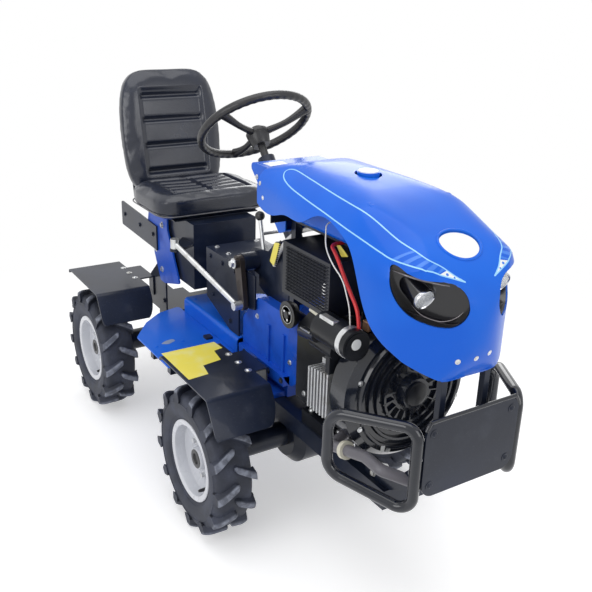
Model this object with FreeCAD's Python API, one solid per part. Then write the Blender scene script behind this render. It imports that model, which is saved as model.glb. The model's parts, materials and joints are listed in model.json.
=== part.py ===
"""Compact articulated garden tractor with four driven wheels.

Millimetres, +Z up, the nose towards -Y and the driver's right hand at -X.
The floor is z = 0 and the origin lies under the middle of the overall length.
Pieces are built about the middle of the wheelbase and shifted once, on export.
"""
import FreeCAD
import Part
import math
import os
from FreeCAD import Vector as V

# ---------------------------------------------------------------- driving sizes
WHEELBASE = 824.0
TYRE_RADIUS = 207.0
TYRE_WIDTH = 110.0
CARCASS_RADIUS = 189.0
LUGS_PER_SIDE = 13
CARCASS_FACETS = 20
LUG_SWEEP = 40.0
LUG_ROOT = 21.0
LUG_WIDTH = 17.0
WHEEL_CENTRE_X = 315.0
RIM_HALF_WIDTH = 45.0
RIM_FLANGE_RADIUS = 116.0
RIM_SEAT_RADIUS = 101.0
RIM_SHEET = 4.0
RIM_DISC_INSET = 34.0
HUB_RADIUS = 30.0
HALF_SHAFT_RADIUS = 17.0
SHAFT_CLEARANCE = 0.05
RUNNING_GAP = 3.0
SEAT_GAP = 0.3

AXLE_TUBE_RADIUS = 36.0
AXLE_CASE_RADIUS = 92.0
AXLE_CASE_WIDTH = 130.0
SHAFT_BORE_DEPTH = 60.0

PIVOT_Y = 50.0
PIVOT_Z = 300.0
PIVOT_PIN_RADIUS = 15.0
PIVOT_BOSS_RADIUS = 34.0
PIVOT_BOSS_HEIGHT = 76.0
EAR_THICKNESS = 16.0

RAIL_X = 112.0
RAIL_WIDTH = 34.0
RAIL_HEIGHT = 50.0
RAIL_Z = 335.0
RAIL_FRONT_Y = -960.0
RAIL_REAR_Y = -170.0
PLATE = 6.0

GEARBOX_HALF_WIDTH = 88.0
GEARBOX_FRONT_Y = -560.0
GEARBOX_REAR_Y = -215.0
GEARBOX_BOTTOM_Z = 400.0
GEARBOX_TOP_Z = 600.0
GEARBOX_FLANGE = 20.0
GEARBOX_FLANGE_HEIGHT = 30.0

ENGINE_FRONT_Y = -800.0
ENGINE_HALF_WIDTH = 118.0
CRANK_Z = 548.0
CRANKCASE_TOP_Z = 660.0
CRANKCASE_BOTTOM_Z = 385.0
SHROUD_RADIUS = 178.0
SHROUD_DEPTH = 82.0
SHROUD_RINGS = 4
CYLINDER_RADIUS = 62.0
FIN_COUNT = 8
FIN_THICKNESS = 4.0
FIN_REACH = 22.0

GUARD_X = 150.0
GUARD_SETBACK = 62.0
GUARD_LENGTH = 206.0
GUARD_BOTTOM_Z = 706.0
GUARD_TOP_Z = 842.0
GUARD_SHEET = 3.0
GUARD_LEFT_X = 130.0
LOUVRE_ROWS = 14

STARTER_RADIUS = 36.0
STARTER_GAP = 8.5
STARTER_BEARING = 42.1
STARTER_AHEAD = 72.0
STARTER_LENGTH = 130.0
SOLENOID_RADIUS = 22.0

HOOD_SHEET = 4.0
HOOD_HALF_WIDTH = 178.0
HOOD_REAR_Y = -400.0
HOOD_FRONT_Y = -1084.0
HOOD_TOP_Z = 1023.0
HOOD_CHIN_Z = 624.0
HOOD_SEAM_RADIUS = 14.0
NOSE_SETBACK = 264.0
NOSE_SLOPE = 0.42
FUEL_CAP_Y = -662.0
FUEL_CAP_RADIUS = 27.0
VENT_HOLE_Y = -983.0
VENT_HALF_WIDTH = 49.0
VENT_HALF_LENGTH = 34.0
EYE_X = 108.0
EYE_SETBACK = 61.0
EYE_Z = 850.0
EYE_WIDTH = 168.0
EYE_DEPTH = 30.0
LAMP_RADIUS = 25.0
LAMP_X = 106.0
LAMP_SETBACK = 79.0
LAMP_DIP = 24.0

TANK_HALF_WIDTH = 112.0
TANK_FRONT_Y = -740.0
TANK_REAR_Y = -530.0
TANK_BOTTOM_Z = 880.0
TANK_TOP_Z = 975.0

BULKHEAD_Y = -468.0
STAND_X = 78.0
STAND_BAR = 20.0
STAND_RAIL_HEIGHT = 12.0
HOOD_POST_X = 62.0
HOOD_POST_Y = -1040.0
HOOD_POST_FOOT_Z = 556.0
HOOD_POST_BAR = 16.0
COVER_HALF_WIDTH = 104.0
COVER_SHEET = 3.0
COVER_TOP_Z = 985.0
COVER_REAR_Y = -268.0
COVER_LIP_Y = -436.0
COVER_LIP_Z = 826.0

COLUMN_TILT = 40.0
COLUMN_RADIUS = 24.0
STEERING_BOX_HALF_WIDTH = 55.0
BOX_BOSS_RADIUS = 26.0
TOWER_X = 98.0
TOWER_TOP_Z = 662.0
TOWER_FRONT_Y = -300.0
TOWER_REAR_Y = 8.0
WHEEL_HUB_Y = -140.0
WHEEL_HUB_Z = 1020.0
STEERING_WHEEL_RADIUS = 172.0
STEERING_DISH = 34.0
STEERING_RIM_RADIUS = 13.0
STEERING_SHAFT_RADIUS = 11.0

PITMAN_X = 112.0
PITMAN_TOP_Y = -235.0
PITMAN_TOP_Z = 686.0
PITMAN_LENGTH = 122.0
PITMAN_LEAN = 12.0
PITMAN_THICKNESS = 14.0
LINK_RADIUS = 8.0
LINK_EYE_RADIUS = 13.0
LINK_EYE_HEIGHT = 30.0
LINK_REAR_X = 185.0
LINK_REAR_Z = 672.0

FENDER_INNER_X = 175.0
FENDER_OUTER_X = 362.0
FENDER_Z = 444.0
FENDER_SHEET = 4.0
FENDER_AHEAD = 112.0
FENDER_BEHIND = 178.0
FENDER_FLAP = 106.0
FENDER_FLAP_ANGLE = 58.0
FENDER_LIP = 18.0
FENDER_INNER_CORNER = 40.0
FENDER_OUTER_CORNER = 12.0

FOOTBOARD_Z = 392.0
FOOTBOARD_SHEET = 4.0
FOOTBOARD_OUTER_X = 326.0
FOOTBOARD_FRONT_Y = -205.0
TUNNEL_HALF_WIDTH = 108.0
TUNNEL_TOP_Z = 441.0

GUARD_TUBE_RADIUS = 13.0
CABLE_RADIUS = 4.5
HOSE_RADIUS = 6.0
WIRE_RADIUS = 1.6
BUMPER_Y = -1085.0
BUMPER_HALF_WIDTH = 134.0
BUMPER_TOP_Z = 600.0
BUMPER_BOTTOM_Z = 418.0
BUMPER_SHEET = 5.0
LOOP_REAR_X = 250.0
LOOP_REAR_Y = -900.0
LOOP_REAR_Z = 425.0
LOOP_CHIN_Z = 378.0
EXHAUST_PIPE_RADIUS = 14.0
EXHAUST_PIPE_Z = 400.0

SEAT_BOX_FRONT_Y = 68.0
SEAT_BOX_REAR_Y = 335.0
SEAT_BOX_BOTTOM_Z = 500.0
SEAT_BOX_TOP_Z = 716.0
SEAT_HALF_WIDTH = 205.0
BACK_HALF_WIDTH = 184.0
SEAT_FRONT_Y = 104.0
SEAT_REAR_Y = 400.0
SEAT_THICKNESS = 76.0
SEAT_PAN = 4.0
SEAT_PAN_HALF_WIDTH = 150.0
BACK_HEIGHT = 428.0
BACK_THICKNESS = 62.0
BACK_RAKE = 12.0

REAR_BEAM_HALF_WIDTH = 45.0
REAR_PLATE_X = 118.0
HITCH_PIN_RADIUS = 12.5
HITCH_HOLE_BACK = 26.0
TONGUE_THICKNESS = 16.0
HITCH_PLATE_REAR_Y = 655.0
REAR_SHIELD_FRONT_Y = 330.0
REAR_SHIELD_Z = 565.0
REAR_SHIELD_HEIGHT = 90.0

# ---------------------------------------------------------------- hood lines
# Top and nose from the rear edge: share of the length, share of the height above the chin.
HOOD_TOP_LINE = [
    (-0, 0.93), (0.149, 0.992), (0.37, 0.992), (0.585, 0.95), (0.775, 0.855), (0.909, 0.729),
    (0.977, 0.591), (1, 0.416), (0.98, 0.19), (0.892, 0.003),
]
# Plan from the rear edge: share of the half-width, share of the length.
HOOD_PLAN_LINE = [
    (0.843, -0), (0.955, 0.365), (1, 0.658), (0.916, 0.833), (0.506, 0.947), (0, 1),
]
# Cross-section from the chin up to the crown: share of the half-width, share of the height.
HOOD_ARCH_LINE = [
    (0, 0), (0.461, 0.1), (0.73, 0.178), (0.978, 0.341), (1.022, 0.566), (0.978, 0.742),
    (0.685, 0.93), (0, 1),
]
# Steeper cross-section that slopes down over the nose.
HOOD_NOSE_LINE = [
    (1.079, -0.812), (1.079, 0.341), (1.045, 0.642), (0.899, 0.842), (0.562, 0.972), (0, 1.018),
]
# Scalloped lower edge from the rear to the chin: share of the length, share of the height.
HOOD_SKIRT_LINE = [
    (-0, 0.704), (0.132, 0.677), (0.228, 0.722), (0.357, 0.739), (0.427, 0.802), (0.561, 0.787),
    (0.649, 0.719), (0.709, 0.536), (0.779, 0.343), (0.873, 0.216), (0.955, 0.118),
]
# Outline of a headlamp opening, across and up from its centre, in shares of its width.
EYE_LINE = [
    (-0.494, 0.315), (-0.446, 0.048), (-0.256, -0.196), (0.054, -0.327), (0.369, -0.321),
    (0.5, -0.143), (0.435, 0.083), (0.202, 0.232), (-0.149, 0.268),
]

# ---------------------------------------------------------------- worked-out places
FRONT_AXLE_Y = -WHEELBASE / 2
REAR_AXLE_Y = WHEELBASE / 2
AXLE_Z = TYRE_RADIUS
GUARD_FRONT_Y = ENGINE_FRONT_Y + GUARD_SETBACK
GUARD_REAR_Y = GUARD_FRONT_Y + GUARD_LENGTH
STARTER_REACH = SHROUD_RADIUS + STARTER_RADIUS + STARTER_GAP
STARTER_X = STARTER_REACH * math.cos(math.radians(STARTER_BEARING))
STARTER_Z = CRANK_Z + STARTER_REACH * math.sin(math.radians(STARTER_BEARING))
STARTER_FRONT_Y = ENGINE_FRONT_Y - STARTER_AHEAD
HOOD_LENGTH = HOOD_REAR_Y - HOOD_FRONT_Y
HOOD_HEIGHT = HOOD_TOP_Z - HOOD_CHIN_Z
FRONT_REACH = -BUMPER_Y
ORIGIN_SHIFT_Y = (FRONT_REACH - HITCH_PLATE_REAR_Y) / 2
RAIL_TOP_Z = RAIL_Z + RAIL_HEIGHT / 2
RAIL_BOTTOM_Z = RAIL_Z - RAIL_HEIGHT / 2
RAIL_INNER_X = RAIL_X - RAIL_WIDTH / 2
RAIL_OUTER_X = RAIL_X + RAIL_WIDTH / 2
EAR_GAP_LOW_Z = PIVOT_Z - PIVOT_BOSS_HEIGHT / 2 - 2
EAR_GAP_HIGH_Z = PIVOT_Z + PIVOT_BOSS_HEIGHT / 2 + 2
EAR_TOP_Z = EAR_GAP_HIGH_Z + EAR_THICKNESS
BEAM_BOTTOM_Z = PIVOT_Z - PIVOT_BOSS_HEIGHT / 2 + 6
BEAM_TOP_Z = PIVOT_Z + PIVOT_BOSS_HEIGHT / 2 - 6
BEAM_REAR_Y = WHEELBASE / 2 + 100
UPRIGHT_INNER_X = REAR_PLATE_X - PLATE
BRACKET_OUTER_X = REAR_PLATE_X + PLATE
SEAT_BOX_HALF_WIDTH = UPRIGHT_INNER_X
CYLINDER_TOP_Z = GUARD_TOP_Z - GUARD_SHEET - 4
LEAN = math.radians(PITMAN_LEAN)
PITMAN_PIN_Y = PITMAN_TOP_Y - PITMAN_LENGTH * math.sin(LEAN)
PITMAN_PIN_Z = PITMAN_TOP_Z - PITMAN_LENGTH * math.cos(LEAN)
TILT = math.radians(COLUMN_TILT)
COLUMN_AXIS = V(0, math.sin(TILT), math.cos(TILT))
WHEEL_HUB = V(0, WHEEL_HUB_Y, WHEEL_HUB_Z)
X_AXIS = V(1, 0, 0)
Z_AXIS = V(0, 0, 1)


# ---------------------------------------------------------------- shape helpers
def block(x0, x1, y0, y1, z0, z1):
    """A box between two corners."""
    return Part.makeBox(x1 - x0, y1 - y0, z1 - z0, V(x0, y0, z0))


def rod(start, end, radius):
    """A round bar between two points."""
    return Part.makeCylinder(radius, (end - start).Length, start, end - start)


def fuse(first, *rest):
    """One solid from several that touch."""
    return first.multiFuse(list(rest)).removeSplitter() if rest else first


def mirrored(shape):
    """The same shape on the other side of the centre plane."""
    return shape.mirror(V(0, 0, 0), X_AXIS)


def both_sides(shape):
    """A shape with its mirror image, as separate solids."""
    return Part.makeCompound([shape, mirrored(shape)])


def rounded_edges(points, radius, closed):
    """Straight runs joined by tangent arcs; radius is one value or one per corner."""
    count = len(points)
    radii = radius if isinstance(radius, (list, tuple)) else [radius] * count
    corners = []
    for index in range(count):
        here = points[index]
        end_point = not closed and index in (0, count - 1)
        if end_point or radii[index] <= 0:
            corners.append((here, None, here))
            continue
        back = (points[index - 1] - here).normalize()
        ahead = (points[(index + 1) % count] - here).normalize()
        half = back.getAngle(ahead) / 2
        setback = radii[index] / math.tan(half)
        middle = (back + ahead).normalize() * (radii[index] / math.sin(half) - radii[index])
        corners.append((here + back * setback, here + middle, here + ahead * setback))
    edges = []
    for index, (start, middle, end) in enumerate(corners):
        if middle is not None:
            edges.append(Part.Arc(start, middle, end).toShape())
        if index + 1 < count or closed:
            following = corners[(index + 1) % count][0]
            if (following - end).Length > 1e-6:
                edges.append(Part.LineSegment(end, following).toShape())
    return edges


def plate(points, radius, along):
    """A closed outline with rounded corners, pushed along a vector into a solid."""
    wire = Part.Wire(rounded_edges(points, radius, True))
    return Part.Face(wire).extrude(along)


def side_plate(outline, x, thickness, radius=0):
    """An upright fore-and-aft plate from (y, z) points."""
    return plate([V(x, y, z) for y, z in outline], radius, V(thickness, 0, 0))


def flat_plate(outline, z, thickness, radius=0):
    """A level plate from (x, y) points."""
    return plate([V(x, y, z) for x, y in outline], radius, V(0, 0, thickness))


def cross_plate(outline, y, thickness, radius=0):
    """An upright plate across the machine from (x, z) points."""
    return plate([V(x, y, z) for x, z in outline], radius, V(0, thickness, 0))


def pipe(points, bend, radius):
    """A round tube along straight runs and arcs."""
    path = Part.Wire(rounded_edges(points, bend, False))
    start = points[0]
    ring = Part.Wire([Part.makeCircle(radius, start, points[1] - start)])
    return path.makePipeShell([ring], True, False)


def turned(profile, centre, axis, radial):
    """A solid of revolution from (along, radius) points about an axis."""
    points = [centre + axis * along + radial * reach for along, reach in profile]
    wire = Part.makePolygon(points + [points[0]])
    return Part.Face(wire).revolve(centre, axis, 360)


# ---------------------------------------------------------------- wheels
def tyre():
    """A narrow farm tyre about the X axis, with chevron lugs on a faceted carcass."""
    half = TYRE_WIDTH / 2
    facets = CARCASS_FACETS
    bore = (RIM_SEAT_RADIUS + 0.2) / math.cos(math.pi / facets)
    bead = RIM_HALF_WIDTH - RIM_SHEET - 8
    bulge = (RIM_FLANGE_RADIUS + CARCASS_RADIUS) / 2
    right_side = [(half - 11, CARCASS_RADIUS - 2), (half, bulge), (bead, bore)]
    profile = right_side + [(-along, reach) for along, reach in reversed(right_side)]
    step = 2 * math.pi / facets

    def at(index, along, reach):
        angle = (index % facets) * step
        return V(along, reach * math.sin(angle), reach * math.cos(angle))

    faces = []
    for index in range(facets):
        for first, second in zip(profile, profile[1:] + profile[:1]):
            ring = [at(index, *first), at(index, *second), at(index + 1, *second), at(index + 1, *first)]
            faces.append(Part.Face(Part.makePolygon(ring + [ring[0]])))
    carcass = Part.makeSolid(Part.makeShell(faces))
    lugs = []
    for index in range(2 * LUGS_PER_SIDE):
        lug = one_lug(1 if index % 2 else -1)
        lug.rotate(V(0, 0, 0), X_AXIS, 180 * index / LUGS_PER_SIDE)
        lugs.append(lug)
    solid = carcass.multiFuse(lugs)
    lowest_corner = math.asin((LUG_SWEEP + LUG_WIDTH) / 2 / TYRE_RADIUS)
    solid.rotate(V(0, 0, 0), X_AXIS, math.degrees(lowest_corner))
    return solid


def one_lug(side):
    """A bar from the shoulder to just past the middle of the tread, slanted forward."""
    half = TYRE_WIDTH / 2
    sweep = LUG_SWEEP
    inner_x = -6.0
    top = math.sqrt(TYRE_RADIUS ** 2 - (sweep / 2 + LUG_WIDTH / 2) ** 2)
    shoulder = half + 1.0
    outline = [
        V(inner_x, -sweep / 2 - LUG_WIDTH / 2, top),
        V(inner_x, -sweep / 2 + LUG_WIDTH / 2, top),
        V(shoulder, sweep / 2 + LUG_WIDTH / 2, top),
        V(shoulder, sweep / 2 - LUG_WIDTH / 2, top),
    ]
    top_face = Part.makePolygon(outline + [outline[0]])
    root = CARCASS_RADIUS - LUG_ROOT
    lower = [V(point.x + math.copysign(3, point.x), point.y, root) for point in outline]
    bottom_face = Part.makePolygon(lower + [lower[0]])
    lug = Part.makeLoft([bottom_face, top_face], True, True)
    return lug if side > 0 else mirrored(lug)


def rim():
    """A pressed steel rim about the X axis, outer side at +X, with its dish and hub."""
    half = RIM_HALF_WIDTH
    bore = RIM_SEAT_RADIUS - RIM_SHEET
    disc = half - RIM_DISC_INSET
    profile = [
        (-half, bore),
        (-half, RIM_FLANGE_RADIUS),
        (-half + RIM_SHEET, RIM_FLANGE_RADIUS),
        (-half + RIM_SHEET, RIM_SEAT_RADIUS),
        (half - RIM_SHEET, RIM_SEAT_RADIUS),
        (half - RIM_SHEET, RIM_FLANGE_RADIUS),
        (half, RIM_FLANGE_RADIUS),
        (half, bore + 2),
        (disc + 3, bore),
        (disc, bore - 12),
        (disc - 8, HUB_RADIUS + 30),
        (disc - 2, HUB_RADIUS + 18),
        (disc - 2, HUB_RADIUS),
        (half - 16, HUB_RADIUS - 2),
        (half - 16, 0),
        (-half - 28, 0),
        (-half - 28, HUB_RADIUS + 4),
        (disc - 8, HUB_RADIUS + 8),
        (disc - 14, HUB_RADIUS + 30),
        (disc - 6, bore - 12),
        (disc - 6, bore),
    ]
    body = turned(profile, V(0, 0, 0), X_AXIS, Z_AXIS)
    inner_end = -half - 28
    shaft = rod(V(inner_end, 0, 0), V(inner_end - SHAFT_BORE_DEPTH + 4, 0, 0), HALF_SHAFT_RADIUS)
    return fuse(body, shaft)


def placed_wheel(shape, side, axle_y):
    """A wheel piece at its axle end; side is -1 on the driver's right."""
    piece = shape.copy()
    if side < 0:
        piece.rotate(V(0, 0, 0), Z_AXIS, 180)
    piece.translate(V(side * WHEEL_CENTRE_X, axle_y, AXLE_Z))
    return piece


# ---------------------------------------------------------------- axles
HUB_INNER_X = WHEEL_CENTRE_X - RIM_HALF_WIDTH - 28
AXLE_END_X = HUB_INNER_X - RUNNING_GAP


def axle(y):
    """Cast centre case with a tube and bearing flange to each wheel."""
    case = turned(
        [
            (-AXLE_CASE_WIDTH / 2, 0),
            (-AXLE_CASE_WIDTH / 2, AXLE_CASE_RADIUS - 26),
            (-AXLE_CASE_WIDTH / 2 + 26, AXLE_CASE_RADIUS),
            (AXLE_CASE_WIDTH / 2 - 26, AXLE_CASE_RADIUS),
            (AXLE_CASE_WIDTH / 2, AXLE_CASE_RADIUS - 26),
            (AXLE_CASE_WIDTH / 2, 0),
        ],
        V(0, y, AXLE_Z),
        X_AXIS,
        Z_AXIS,
    )
    tube = rod(V(-AXLE_END_X, y, AXLE_Z), V(AXLE_END_X, y, AXLE_Z), AXLE_TUBE_RADIUS)
    flanges = [
        rod(V(side * (AXLE_END_X - 16), y, AXLE_Z), V(side * AXLE_END_X, y, AXLE_Z), AXLE_TUBE_RADIUS + 12)
        for side in (-1, 1)
    ]
    body = fuse(case, tube, *flanges)
    for side in (-1, 1):
        outer = V(side * AXLE_END_X, y, AXLE_Z)
        inner = V(side * (AXLE_END_X - SHAFT_BORE_DEPTH), y, AXLE_Z)
        body = body.cut(rod(inner, outer, HALF_SHAFT_RADIUS + SHAFT_CLEARANCE))
    return body


def front_axle():
    """Front axle with the upright drop case that carries it under the gearbox."""
    drop = block(-62, 62, FRONT_AXLE_Y - 66, FRONT_AXLE_Y + 66, AXLE_Z, RAIL_BOTTOM_Z - 8)
    foot = block(-RAIL_INNER_X - 22, RAIL_INNER_X + 22, FRONT_AXLE_Y - 80, FRONT_AXLE_Y + 80,
                 RAIL_BOTTOM_Z - 12, RAIL_BOTTOM_Z)
    return fuse(axle(FRONT_AXLE_Y), drop, foot)


def rear_axle():
    """Rear axle with a short saddle to the rear beam."""
    drop = block(-56, 56, REAR_AXLE_Y - 92, REAR_AXLE_Y + 92, BEAM_BOTTOM_Z - 30, BEAM_BOTTOM_Z)
    return fuse(axle(REAR_AXLE_Y), drop)


# ---------------------------------------------------------------- front frame
def chassis():
    """Two rails, their cross members and the forked pivot with its upright pin."""
    rail = block(RAIL_INNER_X, RAIL_OUTER_X, RAIL_FRONT_Y, RAIL_REAR_Y, RAIL_BOTTOM_Z, RAIL_TOP_Z)
    nose = block(-RAIL_INNER_X, RAIL_INNER_X, RAIL_FRONT_Y, RAIL_FRONT_Y + 34, RAIL_BOTTOM_Z, RAIL_TOP_Z)
    tail = block(-RAIL_INNER_X, RAIL_INNER_X, RAIL_REAR_Y - 60, RAIL_REAR_Y, RAIL_BOTTOM_Z, RAIL_TOP_Z)
    ears = []
    for low in (EAR_GAP_LOW_Z - EAR_THICKNESS, EAR_GAP_HIGH_Z):
        wedge = [(-90, RAIL_REAR_Y - 10), (90, RAIL_REAR_Y - 10), (38, PIVOT_Y), (-38, PIVOT_Y)]
        ears.append(flat_plate(wedge, low, EAR_THICKNESS))
        ears.append(Part.makeCylinder(38, EAR_THICKNESS, V(0, PIVOT_Y, low)))
    web = block(-14, 14, RAIL_REAR_Y - 5, PIVOT_Y - 62, EAR_GAP_LOW_Z - 1, EAR_GAP_HIGH_Z + 1)
    heel = block(-90, 90, RAIL_REAR_Y - 12, RAIL_REAR_Y + 4, EAR_GAP_LOW_Z - EAR_THICKNESS, RAIL_TOP_Z)
    low = EAR_GAP_LOW_Z - EAR_THICKNESS - 10
    pin = Part.makeCylinder(PIVOT_PIN_RADIUS, EAR_TOP_Z + 10 - low, V(0, PIVOT_Y, low))
    return fuse(rail, mirrored(rail), nose, tail, heel, web, pin, *ears)


def gearbox():
    """Blue cast gearbox: ribbed body, bolting flange and bell housing."""
    half = GEARBOX_HALF_WIDTH
    outline = [
        (GEARBOX_REAR_Y, GEARBOX_BOTTOM_Z),
        (GEARBOX_FRONT_Y + 70, GEARBOX_BOTTOM_Z),
        (GEARBOX_FRONT_Y + 20, GEARBOX_BOTTOM_Z + 40),
        (GEARBOX_FRONT_Y + 20, GEARBOX_TOP_Z),
        (GEARBOX_REAR_Y - 90, GEARBOX_TOP_Z),
        (GEARBOX_REAR_Y, GEARBOX_BOTTOM_Z + 110),
    ]
    body = side_plate(outline, -half, 2 * half, [10, 30, 30, 10, 30, 30])
    flange = block(-half - GEARBOX_FLANGE, half + GEARBOX_FLANGE, GEARBOX_FRONT_Y + 80, GEARBOX_REAR_Y - 10,
                   GEARBOX_BOTTOM_Z, GEARBOX_BOTTOM_Z + GEARBOX_FLANGE_HEIGHT)
    foot = block(-half, half, FRONT_AXLE_Y - 60, FRONT_AXLE_Y + 60, RAIL_TOP_Z, GEARBOX_BOTTOM_Z)
    feet = block(-RAIL_OUTER_X + 2, RAIL_OUTER_X - 2, FRONT_AXLE_Y - 50, FRONT_AXLE_Y + 50,
                 RAIL_TOP_Z, RAIL_TOP_Z + 14)
    bell = rod(V(0, GEARBOX_FRONT_Y, CRANK_Z), V(0, GEARBOX_FRONT_Y + 60, CRANK_Z), 108)
    ribs = [
        block(-half - 6, half + 6, y - 5, y + 5, GEARBOX_BOTTOM_Z + 20, GEARBOX_TOP_Z - 60)
        for y in (GEARBOX_FRONT_Y + 110, GEARBOX_FRONT_Y + 190)
    ]
    return fuse(body, flange, foot, feet, bell, *ribs)


# ---------------------------------------------------------------- engine
def engine():
    """Single-cylinder air-cooled engine: crankcase, sump feet and finned cylinder."""
    rear = GEARBOX_FRONT_Y
    half = ENGINE_HALF_WIDTH
    outline = [
        (-half, CRANKCASE_BOTTOM_Z + 30),
        (-half + 40, CRANKCASE_BOTTOM_Z),
        (half - 40, CRANKCASE_BOTTOM_Z),
        (half, CRANKCASE_BOTTOM_Z + 30),
        (half, CRANKCASE_TOP_Z - 40),
        (half - 50, CRANKCASE_TOP_Z),
        (-half + 50, CRANKCASE_TOP_Z),
        (-half, CRANKCASE_TOP_Z - 40),
    ]
    case = cross_plate(outline, ENGINE_FRONT_Y, rear - ENGINE_FRONT_Y, 14)
    sump = block(-RAIL_X - 10, RAIL_X + 10, ENGINE_FRONT_Y + 40, rear - 40,
                 RAIL_Z + RAIL_HEIGHT / 2, CRANKCASE_BOTTOM_Z + 12)
    middle_y = (GUARD_FRONT_Y + GUARD_REAR_Y) / 2
    barrel = Part.makeCylinder(CYLINDER_RADIUS, CYLINDER_TOP_Z - CRANKCASE_TOP_Z + 20,
                               V(20, middle_y, CRANKCASE_TOP_Z - 20))
    pitch = (CYLINDER_TOP_Z - CRANKCASE_TOP_Z - 30) / FIN_COUNT
    fins = [
        Part.makeCylinder(CYLINDER_RADIUS + FIN_REACH, FIN_THICKNESS,
                          V(20, middle_y, CRANKCASE_TOP_Z + 14 + pitch * index))
        for index in range(FIN_COUNT)
    ]
    return fuse(case, sump, barrel, *fins)


def fan_shroud():
    """Recoil starter housing: a round drum with raised rings and a cowl up to the cylinder."""
    front = ENGINE_FRONT_Y - SHROUD_DEPTH
    centre = V(0, ENGINE_FRONT_Y, CRANK_Z)
    profile = [
        (0, 0),
        (0, SHROUD_RADIUS),
        (SHROUD_DEPTH - 26, SHROUD_RADIUS),
        (SHROUD_DEPTH - 8, SHROUD_RADIUS - 16),
    ]
    pitch = (SHROUD_RADIUS - 90) / SHROUD_RINGS
    for index in range(SHROUD_RINGS):
        outer = SHROUD_RADIUS - 26 - pitch * index
        profile += [
            (SHROUD_DEPTH - 8, outer),
            (SHROUD_DEPTH, outer - 3),
            (SHROUD_DEPTH, outer - pitch / 2 + 2),
            (SHROUD_DEPTH - 8, outer - pitch / 2),
        ]
    profile += [(SHROUD_DEPTH - 8, 44), (SHROUD_DEPTH + 14, 38), (SHROUD_DEPTH + 14, 0)]
    drum = turned(profile, centre, V(0, -1, 0), X_AXIS)
    top = CYLINDER_TOP_Z - 40
    cowl = cross_plate([(-96, CRANK_Z), (96, CRANK_Z), (84, top), (-84, top)], front + 30, SHROUD_DEPTH - 30,
                       [0, 0, 20, 20])
    return fuse(drum, cowl)


def exhaust_guard():
    """Sheet box round the cylinder head, its sides slotted in rows, standing on a strap in front."""
    outer = block(-GUARD_X, GUARD_LEFT_X, GUARD_FRONT_Y, GUARD_REAR_Y, GUARD_BOTTOM_Z, GUARD_TOP_Z)
    inner = block(-GUARD_X + GUARD_SHEET, GUARD_LEFT_X - GUARD_SHEET, GUARD_FRONT_Y + GUARD_SHEET,
                  GUARD_REAR_Y - GUARD_SHEET, GUARD_BOTTOM_Z - 1, GUARD_TOP_Z - GUARD_SHEET)
    strap = block(-50, 50, GUARD_FRONT_Y, GUARD_FRONT_Y + GUARD_SHEET, CRANKCASE_TOP_Z, GUARD_BOTTOM_Z + 8)
    shell = fuse(outer.cut(inner), strap)
    pitch = (GUARD_TOP_Z - GUARD_BOTTOM_Z - 20) / LOUVRE_ROWS
    slots = []
    for row in range(LOUVRE_ROWS):
        low = GUARD_BOTTOM_Z + 12 + row * pitch
        slots.append(block(-GUARD_X - 5, GUARD_LEFT_X + 5, GUARD_FRONT_Y + 16, GUARD_REAR_Y - 16, low,
                           low + pitch * 0.45))
    return shell.cut(Part.makeCompound(slots))


def starter():
    """Electric starter motor lying fore and aft beside the crankcase, with its solenoid."""
    front = V(-STARTER_X, STARTER_FRONT_Y, STARTER_Z)
    rear = V(-STARTER_X, STARTER_FRONT_Y + STARTER_LENGTH, STARTER_Z)
    motor = rod(front, rear, STARTER_RADIUS)
    solenoid_x = -STARTER_X + 6
    solenoid_z = STARTER_Z - 46
    solenoid_front = ENGINE_FRONT_Y + RUNNING_GAP
    solenoid = rod(V(solenoid_x, solenoid_front, solenoid_z), V(solenoid_x, solenoid_front + 92, solenoid_z),
                   SOLENOID_RADIUS)
    foot = block(-STARTER_X - 10, -ENGINE_HALF_WIDTH, ENGINE_FRONT_Y + 12, ENGINE_FRONT_Y + 28,
                 CRANK_Z + 44, STARTER_Z - 10)
    return fuse(motor, solenoid, foot)


def finned_cover():
    """Light-alloy cover with upright cooling fins on the right side of the crankcase."""
    face = -ENGINE_HALF_WIDTH - SEAT_GAP
    low = CRANK_Z - 86
    fins = []
    pitch = 13
    for index in range(7):
        y = ENGINE_FRONT_Y + 15 + pitch * index
        top = CRANK_Z + 42 - 2 * index
        fins.append(side_plate([(y, low + 8), (y + 5, low + 8), (y + 5, top), (y, top)], face - 58, 52))
    back = block(face - 12, face, ENGINE_FRONT_Y + 10, ENGINE_FRONT_Y + 15 + pitch * 7, low, CRANK_Z + 40)
    return fuse(back, *fins)


def cap_pulley():
    """Round black cap on the right side of the bell housing, on its stub."""
    centre = V(-108, GEARBOX_FRONT_Y + 34, 636)
    profile = [(0, 0), (0, 30), (14, 36), (22, 36), (22, 26), (18, 24), (18, 12), (26, 10), (26, 0)]
    cap = turned(profile, centre, V(-1, 0, 0), Z_AXIS)
    stem = rod(centre, centre + V(50, 0, -40), 14)
    return fuse(cap, stem).cut(gearbox())


# ---------------------------------------------------------------- hood, tank and lamps
def drawn_in(points, inset, before, after):
    """Points moved across their own line by an inset; before and after are the neighbours beyond the ends."""
    run = [before] + points + [after]
    moved = []
    for index in range(1, len(run) - 1):
        run_a = run[index + 1][0] - run[index - 1][0]
        run_b = run[index + 1][1] - run[index - 1][1]
        length = math.hypot(run_a, run_b)
        moved.append((run[index][0] - inset * run_b / length, run[index][1] + inset * run_a / length))
    return moved


def hood_y(share):
    """Distance along the machine at a share of the hood's length from its rear edge."""
    return HOOD_REAR_Y - share * HOOD_LENGTH


def hood_z(share):
    """Height at a share of the hood's height above its chin."""
    return HOOD_CHIN_Z + share * HOOD_HEIGHT


def spline(points, closed=False):
    """A smooth edge through points."""
    curve = Part.BSplineCurve()
    curve.interpolate(points, PeriodicFlag=closed)
    return curve.toShape()


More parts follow.
